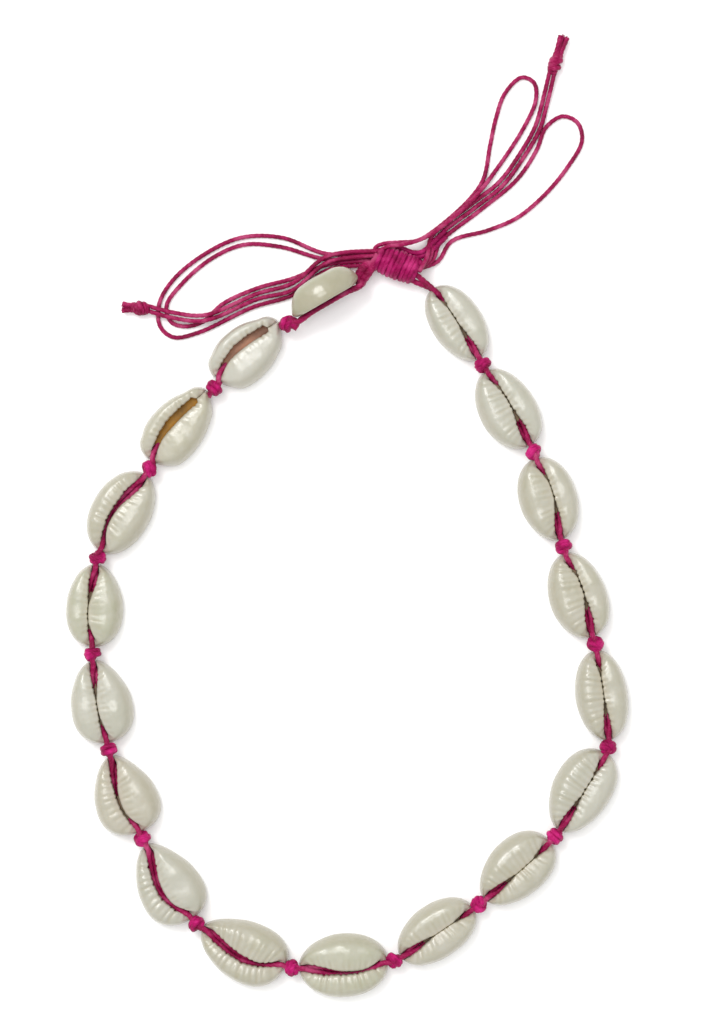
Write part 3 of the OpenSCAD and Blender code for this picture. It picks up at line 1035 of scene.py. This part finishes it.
@dataclass
class ShellString:
    """The eighteen shells in their order along the strands."""

    shells: list[Shell] = field(default_factory=lambda: [
        # number, x, y, heading, length, outer, inner, egg, gaps, inner and outer ribs, jag, tint, bow
        Shell(1, -5.8, 72.9, -150, 16.8, 6.6, 6.6, 0, (1.2, 0.3, 0.4), (1.5, 1.5), 0.2, ShellTint.GREENISH,
              0.5, strand_z=-0.8, upstream=EndShape.CLOSED, whorl=(0, 0), falls=(0.38, 0.6), roll=87,
              back=True, tuck=0.2, height=5.8),
        Shell(2, -21.4, 58.8, -137.5, 18.9, 6.8, 5.6, 0.15, (1.7, 1.6, 1.0), (0.8, 0.8), 0.2, ShellTint.BROWN,
              1.3, strand_z=2.3, upstream=EndShape.CLOSED, whorl=(-1.05, 0.8), falls=(0.1, 0.24),
              slot_shift=1.4),
        Shell(3, -36.4, 42.4, -129, 20.1, 6.9, 5.4, 0.2, (1.6, 1.7, 1.0), (0.8, 1.2), 0.22, ShellTint.GOLDEN,
              1.2, strand_z=2.3, upstream=EndShape.CLOSED, whorl=(-1.05, 0.75), falls=(0.1, 0.24),
              slot_shift=1.4),
        Shell(4, -49.5, 23.8, -121, 19.9, 7, 6.4, 0, (1.9, 0.8, 0.4), (1.6, 2.4), 0.28, ShellTint.CREAM, 1.8,
              strand_z=3.3, whorl=(0, 0), relief=0.09),
        Shell(5, -55.8, 3.4, -92.5, 18.5, 6.2, 6.6, 0.1, (1.5, 0.1, 0.08), (2.4, 1.0), 0.16,
              ShellTint.GREENISH, 1.1, whorl=(-0.35, 0.8), relief=0.1),
        Shell(6, -54.5, -17.8, -80, 18.7, 6.6, 7.1, 0.2, (1.1, 0.08, 0.25), (1.4, 0.8), 0.18, ShellTint.COOL,
              0.6, whorl=(-0.5, 0.7)),
        Shell(7, -49, -38.2, -69, 18.2, 7.1, 6.8, 0.3, (1.4, 0.45, 0.15), (2.2, 2.4), 0.22, ShellTint.ROSY,
              1.6, strand_z=3.2, whorl=(0.0, 0.85)),
        Shell(8, -39.3, -57.5, -58, 19.4, 7.5, 6.4, 0.3, (1.6, 1.1, 0.6), (1.2, 3.0), 0.32, ShellTint.COOL,
              2.5, strand_z=3.7, whorl=(0.45, 0.9)),
        Shell(9, -22.8, -71.8, -24.5, 20.5, 7.6, 6, 0.2, (1.7, 1.3, 0.5), (4.0, 3.6), 0.28, ShellTint.CREAM,
              2.3, strand_z=3.8, whorl=(0, 0)),
        Shell(10, -0.9, -75.8, 4, 19.9, 7.2, 7.1, 0, (1.7, 0.6, 0.15), (1.6, 3.6), 0.28, ShellTint.GREENISH,
              1.5, strand_z=3.7, whorl=(0.1, 0.9)),
        Shell(11, 19.7, -68.7, 34, 19.6, 5.8, 6.5, 0, (1.3, 0.02, 0.02), (2.4, 2.0), 0.08, ShellTint.CREAM,
              -0.1, relief=0.22),
        Shell(12, 37.4, -55, 41.5, 19.6, 6.1, 7.1, 0.1, (1.2, 0.02, 0.02), (3.4, 2.4), 0.10, ShellTint.YELLOW,
              0.2, relief=0.24),
        Shell(13, 51.8, -37.7, 58.5, 20.2, 6.1, 7.1, 0.1, (1.2, 0.03, 0.03), (4.6, 0.9), 0.26, ShellTint.COOL,
              0, relief=0.17),
        Shell(14, 56.2, -16.5, 98, 20.2, 5.6, 6.2, -0.05, (1.0, 0.03, 0.04), (3.6, 0.7), 0.20,
              ShellTint.YELLOW, 0.1, whorl=(-0.5, 0.8)),
        Shell(15, 51, 5.6, 108.5, 19.6, 6.1, 6.9, -0.1, (1.5, 0.1, 0.1), (3.6, 0.7), 0.26, ShellTint.CREAM,
              1.0),
        Shell(16, 44.3, 26.8, 107, 19, 6.4, 6.7, 0, (1.2, 0.1, 0.1), (2.6, 0.7), 0.2, ShellTint.YELLOW, 1.1),
        Shell(17, 35.5, 46.8, 120.5, 19.4, 6, 6.9, -0.1, (1.5, 0.12, 0.1), (3.0, 0.7), 0.22, ShellTint.COOL,
              0.6),
        Shell(18, 24, 65.5, 123, 18.8, 5.9, 5.7, 0, (1.1, 0.1, 0.1), (2.6, 0.6), 0.2, ShellTint.COOL, 0.2,
              whorl=(-0.5, 0.8)),
    ])

    def build(self) -> None:
        """Build and dress every shell."""
        for shell in self.shells:
            enamel = shell.tint.value.material(f"enamel_{shell.number:02d}")
            dress(shell.build(), enamel, shell.node)


# Knots and strands


@dataclass
class Frame:
    """Place of a larger knot: middle, heading of its axis, length and diameter."""

    centre: Vector
    heading: float
    length: float
    diameter: float

    @property
    def axis(self) -> Vector:
        """Unit direction of the knot's axis."""
        return Vector((cos_d(self.heading), sin_d(self.heading), 0))

    @property
    def left(self) -> Vector:
        """Unit direction to the left of the axis."""
        return Vector((-sin_d(self.heading), cos_d(self.heading), 0))

    def face_point(self, end: int, left: float, up: float) -> Vector:
        """Point just off an end face of the knot.

        Args:
            end: -1 for the start of the axis, 1 for its end.
            left: Distance to the left of the axis.
            up: Distance above the axis.

        Returns:
            The point in millimetres.
        """
        return (self.centre + self.axis * end * (self.length / 2 + SEAT_GAP)
                + self.left * left + Vector((0, 0, up)))

    def matrix(self) -> Matrix:
        """Rotation and place of the knot's own frame, +X along its axis."""
        spin = Matrix((self.axis, self.left, Vector((0, 0, 1)))).transposed().to_4x4()
        return Matrix.Translation(self.centre) @ spin


# The sliding knot's solid, where the cords enter it, and its barrel of wraps
SLIDER = Frame(Vector((11.1, 78.1, 3.5)), -22, 9.7, 7.0)
BARREL = Frame(Vector((11.1, 78.35, 3.5)), -21, 9.9, 6.9)
LEFT_END = Frame(Vector((-45.8, 68.9, 1.8)), 176, 4.4, 3.6)
RIGHT_END = Frame(Vector((45.8, 122.9, 1.7)), 72, 5.0, 3.4)
# Rows of strands across a face of the sliding knot, in steps of the pitch
ROWS = (-1.5, -0.5, 0.5, 1.5)


def slider_seat(end: int, row: int, level: float) -> Vector:
    """Place of a strand on a face of the sliding knot."""
    return SLIDER.face_point(end, ROWS[row] * STRAND_PITCH, level * HALF_STACK)


def flat_seat(end: int, up: float, side: int) -> Vector:
    """Place of one of the two shell strands, side by side, on a face of the sliding knot."""
    return SLIDER.face_point(end, side * 0.7 - STRAND_PITCH, side * 0.15 + up)


def tucked(route: Sequence[Vector]) -> list[Vector]:
    """Carry both ends of a route on into the knots that they enter.

    Args:
        route: Points from one knot to the other.

    Returns:
        The route with one more point at each end.
    """
    before = route[0] + (route[0] - route[1]).normalized() * TUCK_IN
    after = route[-1] + (route[-1] - route[-2]).normalized() * TUCK_IN
    return [before, *route, after]


def laid(*rows: Sequence[float] | Vector) -> list[Vector]:
    """Route points as vectors; a row of two numbers lies flat on the table."""
    return [Vector(row) if len(row) > 2 else Vector((*row, FLAT_Z)) for row in rows]


@dataclass
class Tangle:
    """The winding of a tied knot: strands that go round, over and back under themselves.

    Attributes:
        spin: Frame of the knot, +X along its axis and +Y towards its first strand.
        length: Length along the axis.
        radius: Outer radius.
        turns: Turns of each strand.
        seed: Seed of the unevenness.
        cord: Thickness of the wound cord.
    """

    spin: Matrix
    length: float
    radius: float
    turns: float
    seed: int
    cord: float = Lay.KNOT.value.diameter

    def strand(self, side: int, start: float, hand: int) -> list[Vector]:
        """Route of one strand from face to face.

        Args:
            side: 1 for the first strand, -1 for the second.
            start: Angle at which the winding starts.
            hand: 1 or -1 for the sense of the winding.

        Returns:
            Points of the route in millimetres.
        """
        rng = random.Random(self.seed * 7 + side)
        middle, half = self.radius - self.cord / 2, (self.length - self.cord) / 2
        route = [self.spin @ Vector((-self.length / 2 + 0.15, side * 0.45, 0))]
        steps = round(16 * self.turns)
        for k in range(steps + 1):
            t = k / steps
            angle = hand * (start + math.tau * self.turns * t) + 0.35 * side
            x = 0.42 * side + 0.75 * (t - 0.5) - 0.62 * math.sin(math.tau * t + 0.5 * self.seed)
            x = clamp(x + 0.45 * math.cos(angle - start) + rng.uniform(-0.04, 0.04), -1, 1)
            lump = 0.86 + 0.08 * math.sin(math.pi * t) + 0.06 * math.sin(3 * angle + self.seed)
            radius = blend(0.4, middle * (lump * (1 - 0.4 * x * x)), smooth(min(t, 1 - t) / 0.14))
            route.append(self.spin @ Vector((half * x, radius * math.cos(angle), radius * math.sin(angle))))
        route.append(self.spin @ Vector((self.length / 2 - 0.15, side * 0.45, 0)))
        return smooth_route(route, WIND_STEP)

    def build(self, name: str) -> Piece:
        """Wind both strands round a packed core.

        Args:
            name: Name of the piece.

        Returns:
            The knot as one piece.
        """
        rng = random.Random(self.seed)
        start, hand = rng.uniform(0, math.tau), rng.choice((-1, 1))
        wraps = sweep([self.strand(side, start, hand) for side in (1, -1)], name + "_wraps", Lay.KNOT)
        core = begin(bpy.ops.mesh.primitive_uv_sphere_add, segments=18, ring_count=12, radius=MM)
        core.data.uv_layers[0].name = "lay"
        thick = self.radius - self.cord * 0.62
        size = Matrix.Diagonal((self.length / 2 - 0.3, thick, thick, 1))
        spin = self.spin.copy()
        spin.translation *= MM
        core.data.transform(spin @ size)
        face_outwards(core)
        return join([wraps, core], name)


@dataclass
class Strands:
    """The two strands from knot to knot through the shells, and the knots between.

    Attributes:
        string: The shells that the strands run through.
        knot_len: Longest knot along the strands.
        knot_r: Outer radius of a knot.
        knot_stack: Distance between the strands where they enter a knot.
        notch_z: Height of the strands in an open notch.
        closed_notch_z: Their height under lips that meet.
        dive_z: Their height where they lie deep.
        lit_z: Their height where they show in the slot.
        diagonal: Half their distance, across and up, where they turn over.
        notch_in: How far from an end of a shell they lie in its notch.
        dive_in: How far from an end they have come down.
    """

    string: ShellString
    knot_len: float = 3.0
    knot_r: float = 2.1
    knot_stack: float = 1.35
    notch_z: float = 3.9
    closed_notch_z: float = 2.7
    dive_z: float = 2.6
    lit_z: float = 3.8
    diagonal: float = 0.8 * HALF_PITCH
    notch_in: float = 1.2
    dive_in: float = 3.8

    def exit_point(self, i: int, end: int) -> Vector:
        """Middle of the two strands where they leave a shell."""
        shell = self.string.shells[i]
        return shell.placed(Vector((0, end * shell.length / 2,
                                    shell.strand_z if shell.back else self.notch_z)))

    def knot_frame(self, i: int) -> tuple[Vector, Vector, Vector, float]:
        """Find the place of the knot after a shell.

        Args:
            i: Index of the shell.

        Returns:
            Centre, axis, stacking direction and length of the knot.
        """
        a, b = self.exit_point(i, 1), self.exit_point(i + 1, -1)
        axis = (b - a).normalized()
        shells = self.string.shells
        stack = shells[i].stack_direction() + shells[i + 1].stack_direction()
        stacking = (stack - axis * stack.dot(axis)).normalized()
        return (a + b) / 2, axis, stacking, min(self.knot_len, (b - a).length - 0.3)

    def seat(self, i: int, end: int, side: int) -> Vector:
        """Place of a strand on a face of a knot."""
        centre, axis, stacking, length = self.knot_frame(i)
        return centre + axis * end * (length / 2 + SEAT_GAP) + stacking * side / 2 * self.knot_stack

    def inside(self, shell: Shell, side: int) -> list[Vector]:
        """Points of one strand inside a shell, or behind its cut back.

        Args:
            shell: The shell.
            side: 1 for the upper strand, -1 for the lower one.

        Returns:
            The points, from the upstream end to the downstream end.
        """
        if shell.back:
            far, near = shell.length / 2 - 0.6, shell.length / 2 - self.dive_in
            return [shell.placed(Vector((-side * HALF_STACK, y, z))) for y, z in (
                (-far, shell.strand_z), (-near, -0.5), (0, -0.45), (near, -0.5), (far, shell.strand_z))]
        notch_y, dive_y = shell.length / 2 - self.notch_in, shell.length / 2 - self.dive_in
        closed = shell.upstream.value.closed
        first_z = self.closed_notch_z if closed else self.notch_z
        open_z = self.dive_z if closed else self.lit_z
        last_z = self.lit_z if shell.strand_z > 3.5 else self.dive_z + 0.4
        middles = [shell.slot_middle(v) for v in (-0.75, 0.0, 0.75)]
        return [shell.placed(Vector(p)) for p in (
            (0, -notch_y, first_z + side * HALF_STACK),
            (middles[0] * 0.9 + side * HALF_PITCH, -dive_y, open_z + side * 0.15),
            (middles[1] + side * HALF_PITCH, 0, shell.strand_z),
            (middles[2] * 0.7 + side * self.diagonal, dive_y, last_z + side * self.diagonal),
            (0.8 * shell.slot_shift, notch_y, self.notch_z + side * HALF_STACK))]

    def stretch(self, i: int, side: int) -> list[Vector]:
        """Route of one strand through a shell, from inside one knot to inside the next.

        Args:
            i: Index of the shell.
            side: 1 for the upper strand, -1 for the lower one.

        Returns:
            Points of the route.
        """
        shells = self.string.shells
        start = [self.seat(i - 1, 1, side)] if i else [
            flat_seat(-1, 0.9, side), Vector((4.7 + 0.6 * side, 78 - 0.3 * side, 4.2)),
            Vector((2.8 + 0.58 * side, 75.2 - 0.29 * side, 3.7))]
        finish = flat_seat(1, 0, side) if i == len(shells) - 1 else self.seat(i, -1, side)
        return tucked([*start, *self.inside(shells[i], side), finish])

    def build_strand(self, name: str, side: int) -> None:
        """Sweep all the stretches of one strand as one piece and dress it.

        Args:
            name: Name of the strand's node.
            side: 1 for the upper strand, -1 for the lower one.
        """
        paths = [smooth_route(self.stretch(i, side), STRAND_STEP) for i in range(len(self.string.shells))]
        flat = sweep(paths[:1], name + "_first", Lay.SQUEEZED,
                     lambda share: 1.45 - 0.45 * smooth((share - 0.26) / 0.1))
        rest = sweep(paths[1:], name + "_rest", Lay.STRAND)
        piece = join([flat, rest], name + "_cord")
        dress(piece, CordWax.LOOSE.value.material(name + "_wax"), name)

    def build_knot(self, i: int) -> Piece:
        """Tie the overhand knot after a shell.

        Args:
            i: Index of the shell.

        Returns:
            The knot.
        """
        centre, axis, stacking, length = self.knot_frame(i)
        spin = Matrix((axis, stacking, axis.cross(stacking))).transposed().to_4x4()
        spin.translation = centre
        return Tangle(spin, length + 1.0, self.knot_r, 1.6, 40 + i).build(f"overhand_{i + 1:02d}")

    def build(self) -> None:
        """Build both strands and every knot between the shells."""
        self.build_strand("strand_a", 1)
        self.build_strand("strand_b", -1)
        wax = CordWax.OVERHAND.value.material("overhand_wax")
        for i in range(len(self.string.shells) - 1):
            dress(self.build_knot(i), wax, f"knot_{i + 1:02d}")


@dataclass
class WrappedKnot:
    """The sliding knot: a barrel of cord wraps round a core.

    Attributes:
        name: Name of the piece.
        node: Node that it stands for.
        frame: Its place.
        wraps: Number of turns.
        cord: Thickness of the wrapping cord.
        waist: How much thinner the barrel is at its ends.
        lean: How far the wraps lean from square, in millimetres over the diameter.
        seed: Seed of the small unevenness.
        step: Distance between the points of the wrapping cord.
    """

    name: str
    node: str
    frame: Frame
    wraps: float = 9.0
    cord: float = Lay.WRAP.value.diameter
    waist: float = 1.3
    lean: float = 0.8
    seed: int = 5
    step: float = 0.36

    def radius(self, x: float) -> float:
        """Radius of the wraps' middle line at a place along the axis."""
        share = clamp(abs(x) / (self.frame.length / 2))
        return (self.frame.diameter - self.waist * share ** 2.4) / 2 - self.cord / 2

    def helix(self) -> list[Vector]:
        """Lay out the wrapping cord.

        Returns:
            Points of its route.
        """
        rng = random.Random(self.seed)
        span = self.frame.length - self.cord
        steps = round(self.wraps * 16)
        base = self.frame.matrix()
        edge = self.frame.length / 2 - self.cord / 2
        route = []
        for k in range(steps + 1):
            t = k / steps
            angle = math.tau * self.wraps * t + 0.8
            x = (t - 0.5) * span
            wander = 0.10 * math.sin(angle * 0.37 + self.seed) + rng.uniform(-0.03, 0.03)
            radius = self.radius(x) + 0.06 * math.sin(angle * 0.61) - 0.04
            x_lean = clamp(x + self.lean / 2 * math.cos(angle) + wander, -edge, edge)
            route.append(base @ Vector((x_lean, radius * math.cos(angle), radius * math.sin(angle))))
        return route

    def core(self) -> Piece:
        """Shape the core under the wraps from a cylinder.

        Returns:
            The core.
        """
        core = begin(bpy.ops.mesh.primitive_cylinder_add, vertices=28, rotation=(0, math.pi / 2, 0),
                     radius=(self.frame.diameter / 2 - self.cord * 0.55) * MM,
                     depth=(self.frame.length - 0.7) * MM)
        settle(core)
        edit_whole(core, *(
            partial(bpy.ops.mesh.bisect, plane_co=(at * self.frame.length * MM, 0, 0), plane_no=(1, 0, 0))
            for at in (-0.3, 0.0, 0.3)))
        for vertex in core.data.vertices:
            share = self.radius(vertex.co.x / MM) / self.radius(0)
            vertex.co.y *= share
            vertex.co.z *= share
        core.data.uv_layers[0].name = "lay"
        lifted = self.frame.matrix()
        lifted.translation *= MM
        core.data.transform(lifted)
        face_outwards(core)
        return core

    def recess(self) -> Piece:
        """Sweep the two strands that lie deep between the barrel and the cord that bridges it.

        Returns:
            Both strands as one piece.
        """
        lines = (
            laid((6.8, 81.6, 2.2), (9, 82.2, 2.6), (11.6, 82.2, 2.7), (14.2, 81.2, 2.7), (16.4, 81.3, 2.6),
                 (18.6, 83.2, 1.8), (21.5, 86.1, 0.9)),
            laid((6.6, 80.8, 1.6), (8.6, 81.3, 1.8), (10.6, 81.4, 2.2), (13.2, 80.4, 2.3), (16, 80.2, 2.4),
                 (18.6, 81.8, 1.6), (21.8, 84.8, 0.9)))
        return sweep([smooth_route(line, STRAND_STEP) for line in lines], self.name + "_recess", Lay.RECESS)

    def build(self) -> None:
        """Wind the wraps round the core and dress the knot."""
        wraps = sweep([smooth_route(self.helix(), self.step)], self.name + "_wraps", Lay.WRAP)
        piece = join([wraps, self.core(), self.recess()], self.name)
        dress(piece, CordWax.WRAPPED.value.material(self.name + "_wax"), self.node)


@dataclass
class EndKnot:
    """The knot at the end of a pair of tails, with the frayed tip beyond it.

    Attributes:
        name: Name of the piece.
        node: Node that it stands for.
        frame: Its place.
        seed: Seed of the winding.
        tip: Length of the tip beyond the knot.
        flare: Half width of the tip at its cut end.
        fibres: Number of loose fibres in the tip.
    """

    name: str
    node: str
    frame: Frame
    seed: int
    tip: float
    flare: float = 1.3
    fibres: int = 46

    def fray(self) -> list[Piece]:
        """Cut the two cord ends and stand loose fibres out of them.

        Returns:
            The cord ends and the fibres.
        """
        rng = random.Random(self.seed + 1)
        base = self.frame.matrix()
        start = self.frame.length / 2 - 0.7
        ends, fibres = [], []
        for side in (1, -1):
            spread = side * (self.flare - 0.55)
            line = [(start, side * 0.5, 0), (start + self.tip * 0.5, side * 0.55, 0.05),
                    (start + self.tip + 0.5, spread, -0.1)]
            ends.append(smooth_route([base @ Vector(p) for p in line], WIND_STEP))
        for _ in range(self.fibres):
            turn = rng.uniform(0, math.tau)
            y, z = 0.9 * math.cos(turn) * rng.random(), 0.45 * math.sin(turn)
            reach = start + self.tip * rng.uniform(0.85, 1.08) + 0.6
            wide = rng.uniform(1.0, 1.45)
            line = [(start + 0.2, y, z), (start + self.tip * 0.6, y * 1.15, z * 0.9),
                    (reach, clamp(y * wide, -self.flare, self.flare), clamp(z * wide, -1.2, 1.2))]
            fibres.append(smooth_route([base @ Vector(p) for p in line], 0.5))
        stubs = sweep(ends, self.name + "_ends", Lay.STUB, lambda t: 1 + 0.12 * t)
        hairs = sweep(fibres, self.name + "_fibres", Lay.FIBRE, lambda t: 1 - 0.5 * t)
        return [stubs, hairs]

    def build(self) -> Piece:
        """Tie the knot, fray its tip and dress both.

        Returns:
            The knot with its tip.
        """
        tied = Tangle(self.frame.matrix(), self.frame.length, self.frame.diameter / 2, 2.4, self.seed)
        piece = join([tied.build(self.name), *self.fray()], self.name)
        dress(piece, CordWax.LOOSE.value.material(self.name + "_wax"), self.node)
        return piece


# Loose cord


class CordEnd(Enum):
    """What the far end of a loose cord goes into."""

    KNOT = "knot"
    BACK = "object"


@dataclass
class LooseCord:
    """A loose cord that lies on the table beyond the sliding knot.

    Attributes:
        node: Node that it stands for.
        end: What its far end goes into.
        route: Its points in millimetres, the same as those of its solid.
    """

    node: str
    end: CordEnd
    route: list[Vector]

    def build(self, with_pieces: Sequence[Piece] = ()) -> None:
        """Args:
            with_pieces: Not used.
        """
        line = smooth_route(tucked(self.route), CORD_STEP)
        line = [Vector((p.x, p.y, max(p.z, FLAT_Z))) for p in line]
        piece = sweep([line], self.node + "_cord", Lay.LOOSE)
        dress(piece, CordWax.LOOSE.value.material(self.node + "_wax"), self.node)
        LOG.info("%s: %.1f mm", piece.name, route_length(line))


@dataclass
class LooseEnds:
    """All the loose cord: the bows and the tails on both sides."""

    cords: list[LooseCord] = field(default_factory=lambda: [
        LooseCord("left_bow_a", CordEnd.BACK, laid(
            slider_seat(-1, 3, -1), (-4.5, 81, 0.6), (-14.5, 84.6), (-23.5, 84.6), (-31.5, 81), (-38.5, 75.3),
            (-41.6, 70), (-41.4, 65), (-38.5, 62.6), (-33, 63.6), (-21, 69.2), (-12, 72), (-4.5, 77.4),
            slider_seat(-1, 0, -1))),
        LooseCord("left_bow_b", CordEnd.BACK, laid(
            slider_seat(-1, 2, -1), (-4.5, 79.8), (-15, 82.6), (-23, 83), (-30, 80), (-36.5, 74.5),
            (-40, 69.5), (-39, 66), (-36, 65), (-32, 66), (-27.5, 70), (-20, 73.4), (-12, 75.6), (-4.5, 78.6),
            slider_seat(-1, 1, -1))),
        LooseCord("left_tail_a", CordEnd.KNOT, laid(
            slider_seat(-1, 3, 1), (-4.5, 80.4, 1.7), (-12, 74.5, 1.6), (-20, 72.2), (-31.5, 67.4, 1.9),
            (-38.5, 68, 1.7), LEFT_END.face_point(-1, -HALF_PITCH, 0))),
        LooseCord("left_tail_b", CordEnd.KNOT, laid(
            slider_seat(-1, 2, 1), (-4.5, 79, 1.7), (-12, 73, 1.6), (-20, 71), (-31.5, 66.2, 1.9),
            (-38.5, 66.8, 1.7), LEFT_END.face_point(-1, HALF_PITCH, 0))),
        LooseCord("right_bow_a", CordEnd.BACK, laid(
            (5.9, 80.8, 3.4), (6.2, 82.2, 3.9), (8, 83, 4.1), (11.6, 83.3, 4.1), (15.2, 83.7, 3.2),
            (19, 86, 1.2), (26.9, 93), (30, 97.5), (31.5, 105), (32.8, 111), (34.8, 116.5), (38.5, 120),
            (41.2, 118.8), (41.6, 115), (39, 109), (33.5, 100.5), (27.3, 92.6, 1.6), (19, 85.6, 2.4),
            (15.2, 83.6, 4.3), (11.8, 82.7, 5.1), (8.6, 82.2, 5), (7.2, 81.2, 4.7), (6.9, 79.8, 4))),
        LooseCord("right_bow_b", CordEnd.BACK, laid(
            slider_seat(1, 3, -3), (20, 79.4, 0.6), (23, 83.8), (31, 86.2), (37.5, 89), (43.5, 94),
            (48.5, 100), (51.8, 106), (50.8, 110), (47.5, 111.4), (43.8, 108.9), (41.8, 104), (37.4, 97.4),
            (29.1, 90.5), (20.5, 83.6, 0.6), (18.9, 79.8, 1.5), slider_seat(1, 3, -1))),
        LooseCord("right_tail_a", CordEnd.KNOT, laid(
            slider_seat(1, 3, 3), (17.6, 80.4, 3.8), (18.6, 84.8, 1.2), (27.6, 92.2), (33.5, 96.9), (38, 103),
            (41.4, 109), (42.9, 114, 0.8), RIGHT_END.face_point(-1, HALF_PITCH, 0))),
        LooseCord("right_tail_b", CordEnd.KNOT, laid(
            slider_seat(1, 3, 1), (18.2, 80.1, 2.6), (19.5, 84.2, 1), (28.4, 91.4), (34.2, 96), (38.9, 102.3),
            (42.5, 108.6), (44, 113.8, 0.8), RIGHT_END.face_point(-1, -HALF_PITCH, 0))),
    ])

    def build(self) -> None:
        """Build the end knots and every loose cord."""
        left = EndKnot("left_end_wraps", "left_end_knot", LEFT_END, seed=11, tip=1.9).build()
        right = EndKnot("right_end_wraps", "right_end_knot", RIGHT_END, seed=17, tip=4.0).build()
        carried = {"left_tail_a": [left], "right_tail_a": [right]}
        for cord in self.cords:
            cord.build(carried.get(cord.node, ()))


# Studio


@dataclass
class Studio:
    """Table, lights and camera straight above, as in the photograph.

    Attributes:
        pixel: Millimetres that one pixel of the photograph shows.
        column: Pixel column of the frame's origin.
        row: Pixel row of the frame's origin.
        distance: Height of the camera above the fronts of the shells.
        front: Height of the fronts of the shells.
        width: Width of the photograph in pixels.
        height: Height of the photograph in pixels.
        sensor: Width of the camera's sensor in millimetres.
        table_size: Width of the table in metres.
    """

    pixel: float = 0.22
    column: float = 347.5
    row: float = 621.0
    distance: float = 800.0
    front: float = 4.0
    width: int = 714
    height: int = 1024
    sensor: float = 36.0
    table_size: float = 6.0

    def camera(self) -> None:
        """Stand the camera over the middle of the photograph's frame."""
        data = bpy.data.cameras.new("camera")
        data.sensor_width = self.sensor
        data.lens = self.sensor * self.distance / (self.height * self.pixel)
        data.clip_start = 0.01
        camera = add_object("camera", data)
        camera.location = Vector(((self.width / 2 - self.column) * self.pixel,
                                  (self.row - self.height / 2) * self.pixel,
                                  self.distance + self.front)) * MM
        bpy.context.scene.camera = camera

    def table(self) -> None:
        """Lay the pale table under the necklace."""
        table = begin(bpy.ops.mesh.primitive_plane_add, size=self.table_size, location=(0, 0, -0.02 * MM))
        table.name = "table"
        settle(table)
        wear(table, TableFinish().material("table_white"))

    def lamp(self, name: str, place: Sequence[float], size: float, watts: float) -> None:
        """Hang a round soft box that faces the necklace.

        Args:
            name: Name of the lamp.
            place: Its place in metres.
            size: Width of the soft box in metres.
            watts: Its power.
        """
        data = bpy.data.lights.new(name, "AREA")
        data.shape = "DISK"
        data.size = size
        data.energy = watts
        lamp = add_object(name, data)
        lamp.location = place
        lamp.rotation_euler = (-Vector(place)).to_track_quat("-Z", "Y").to_euler()

    def light(self) -> None:
        """Light from the upper left, with a bright room all round."""
        self.lamp("window", (-0.38, 0.5, 1.08), 0.5, 6.5)
        self.lamp("overhead", (-0.10, 0.10, 1.05), 0.36, 1.8)
        world = bpy.data.worlds.new("room")
        world.use_nodes = True
        Nodes(world.node_tree).feed(world.node_tree.nodes["Background"],
                                    {"Color": (1.0, 1.0, 1.0, 1), "Strength": 1.0})
        bpy.context.scene.world = world
        bpy.context.scene.view_settings.view_transform = "Standard"

    def build(self) -> None:
        """Set up the whole studio."""
        self.camera()
        self.table()
        self.light()


def main() -> None:
    """Build the studio, the loose cord, the knots and the shells in order."""
    logging.basicConfig(level=logging.INFO, format="%(message)s")
    Studio().build()
    LooseEnds().build()
    WrappedKnot("sliding_wraps", "slider_knot", BARREL).build()
    string = ShellString()
    Strands(string).build()
    string.build()
    deselect()


if __name__ == "__main__":
    main()
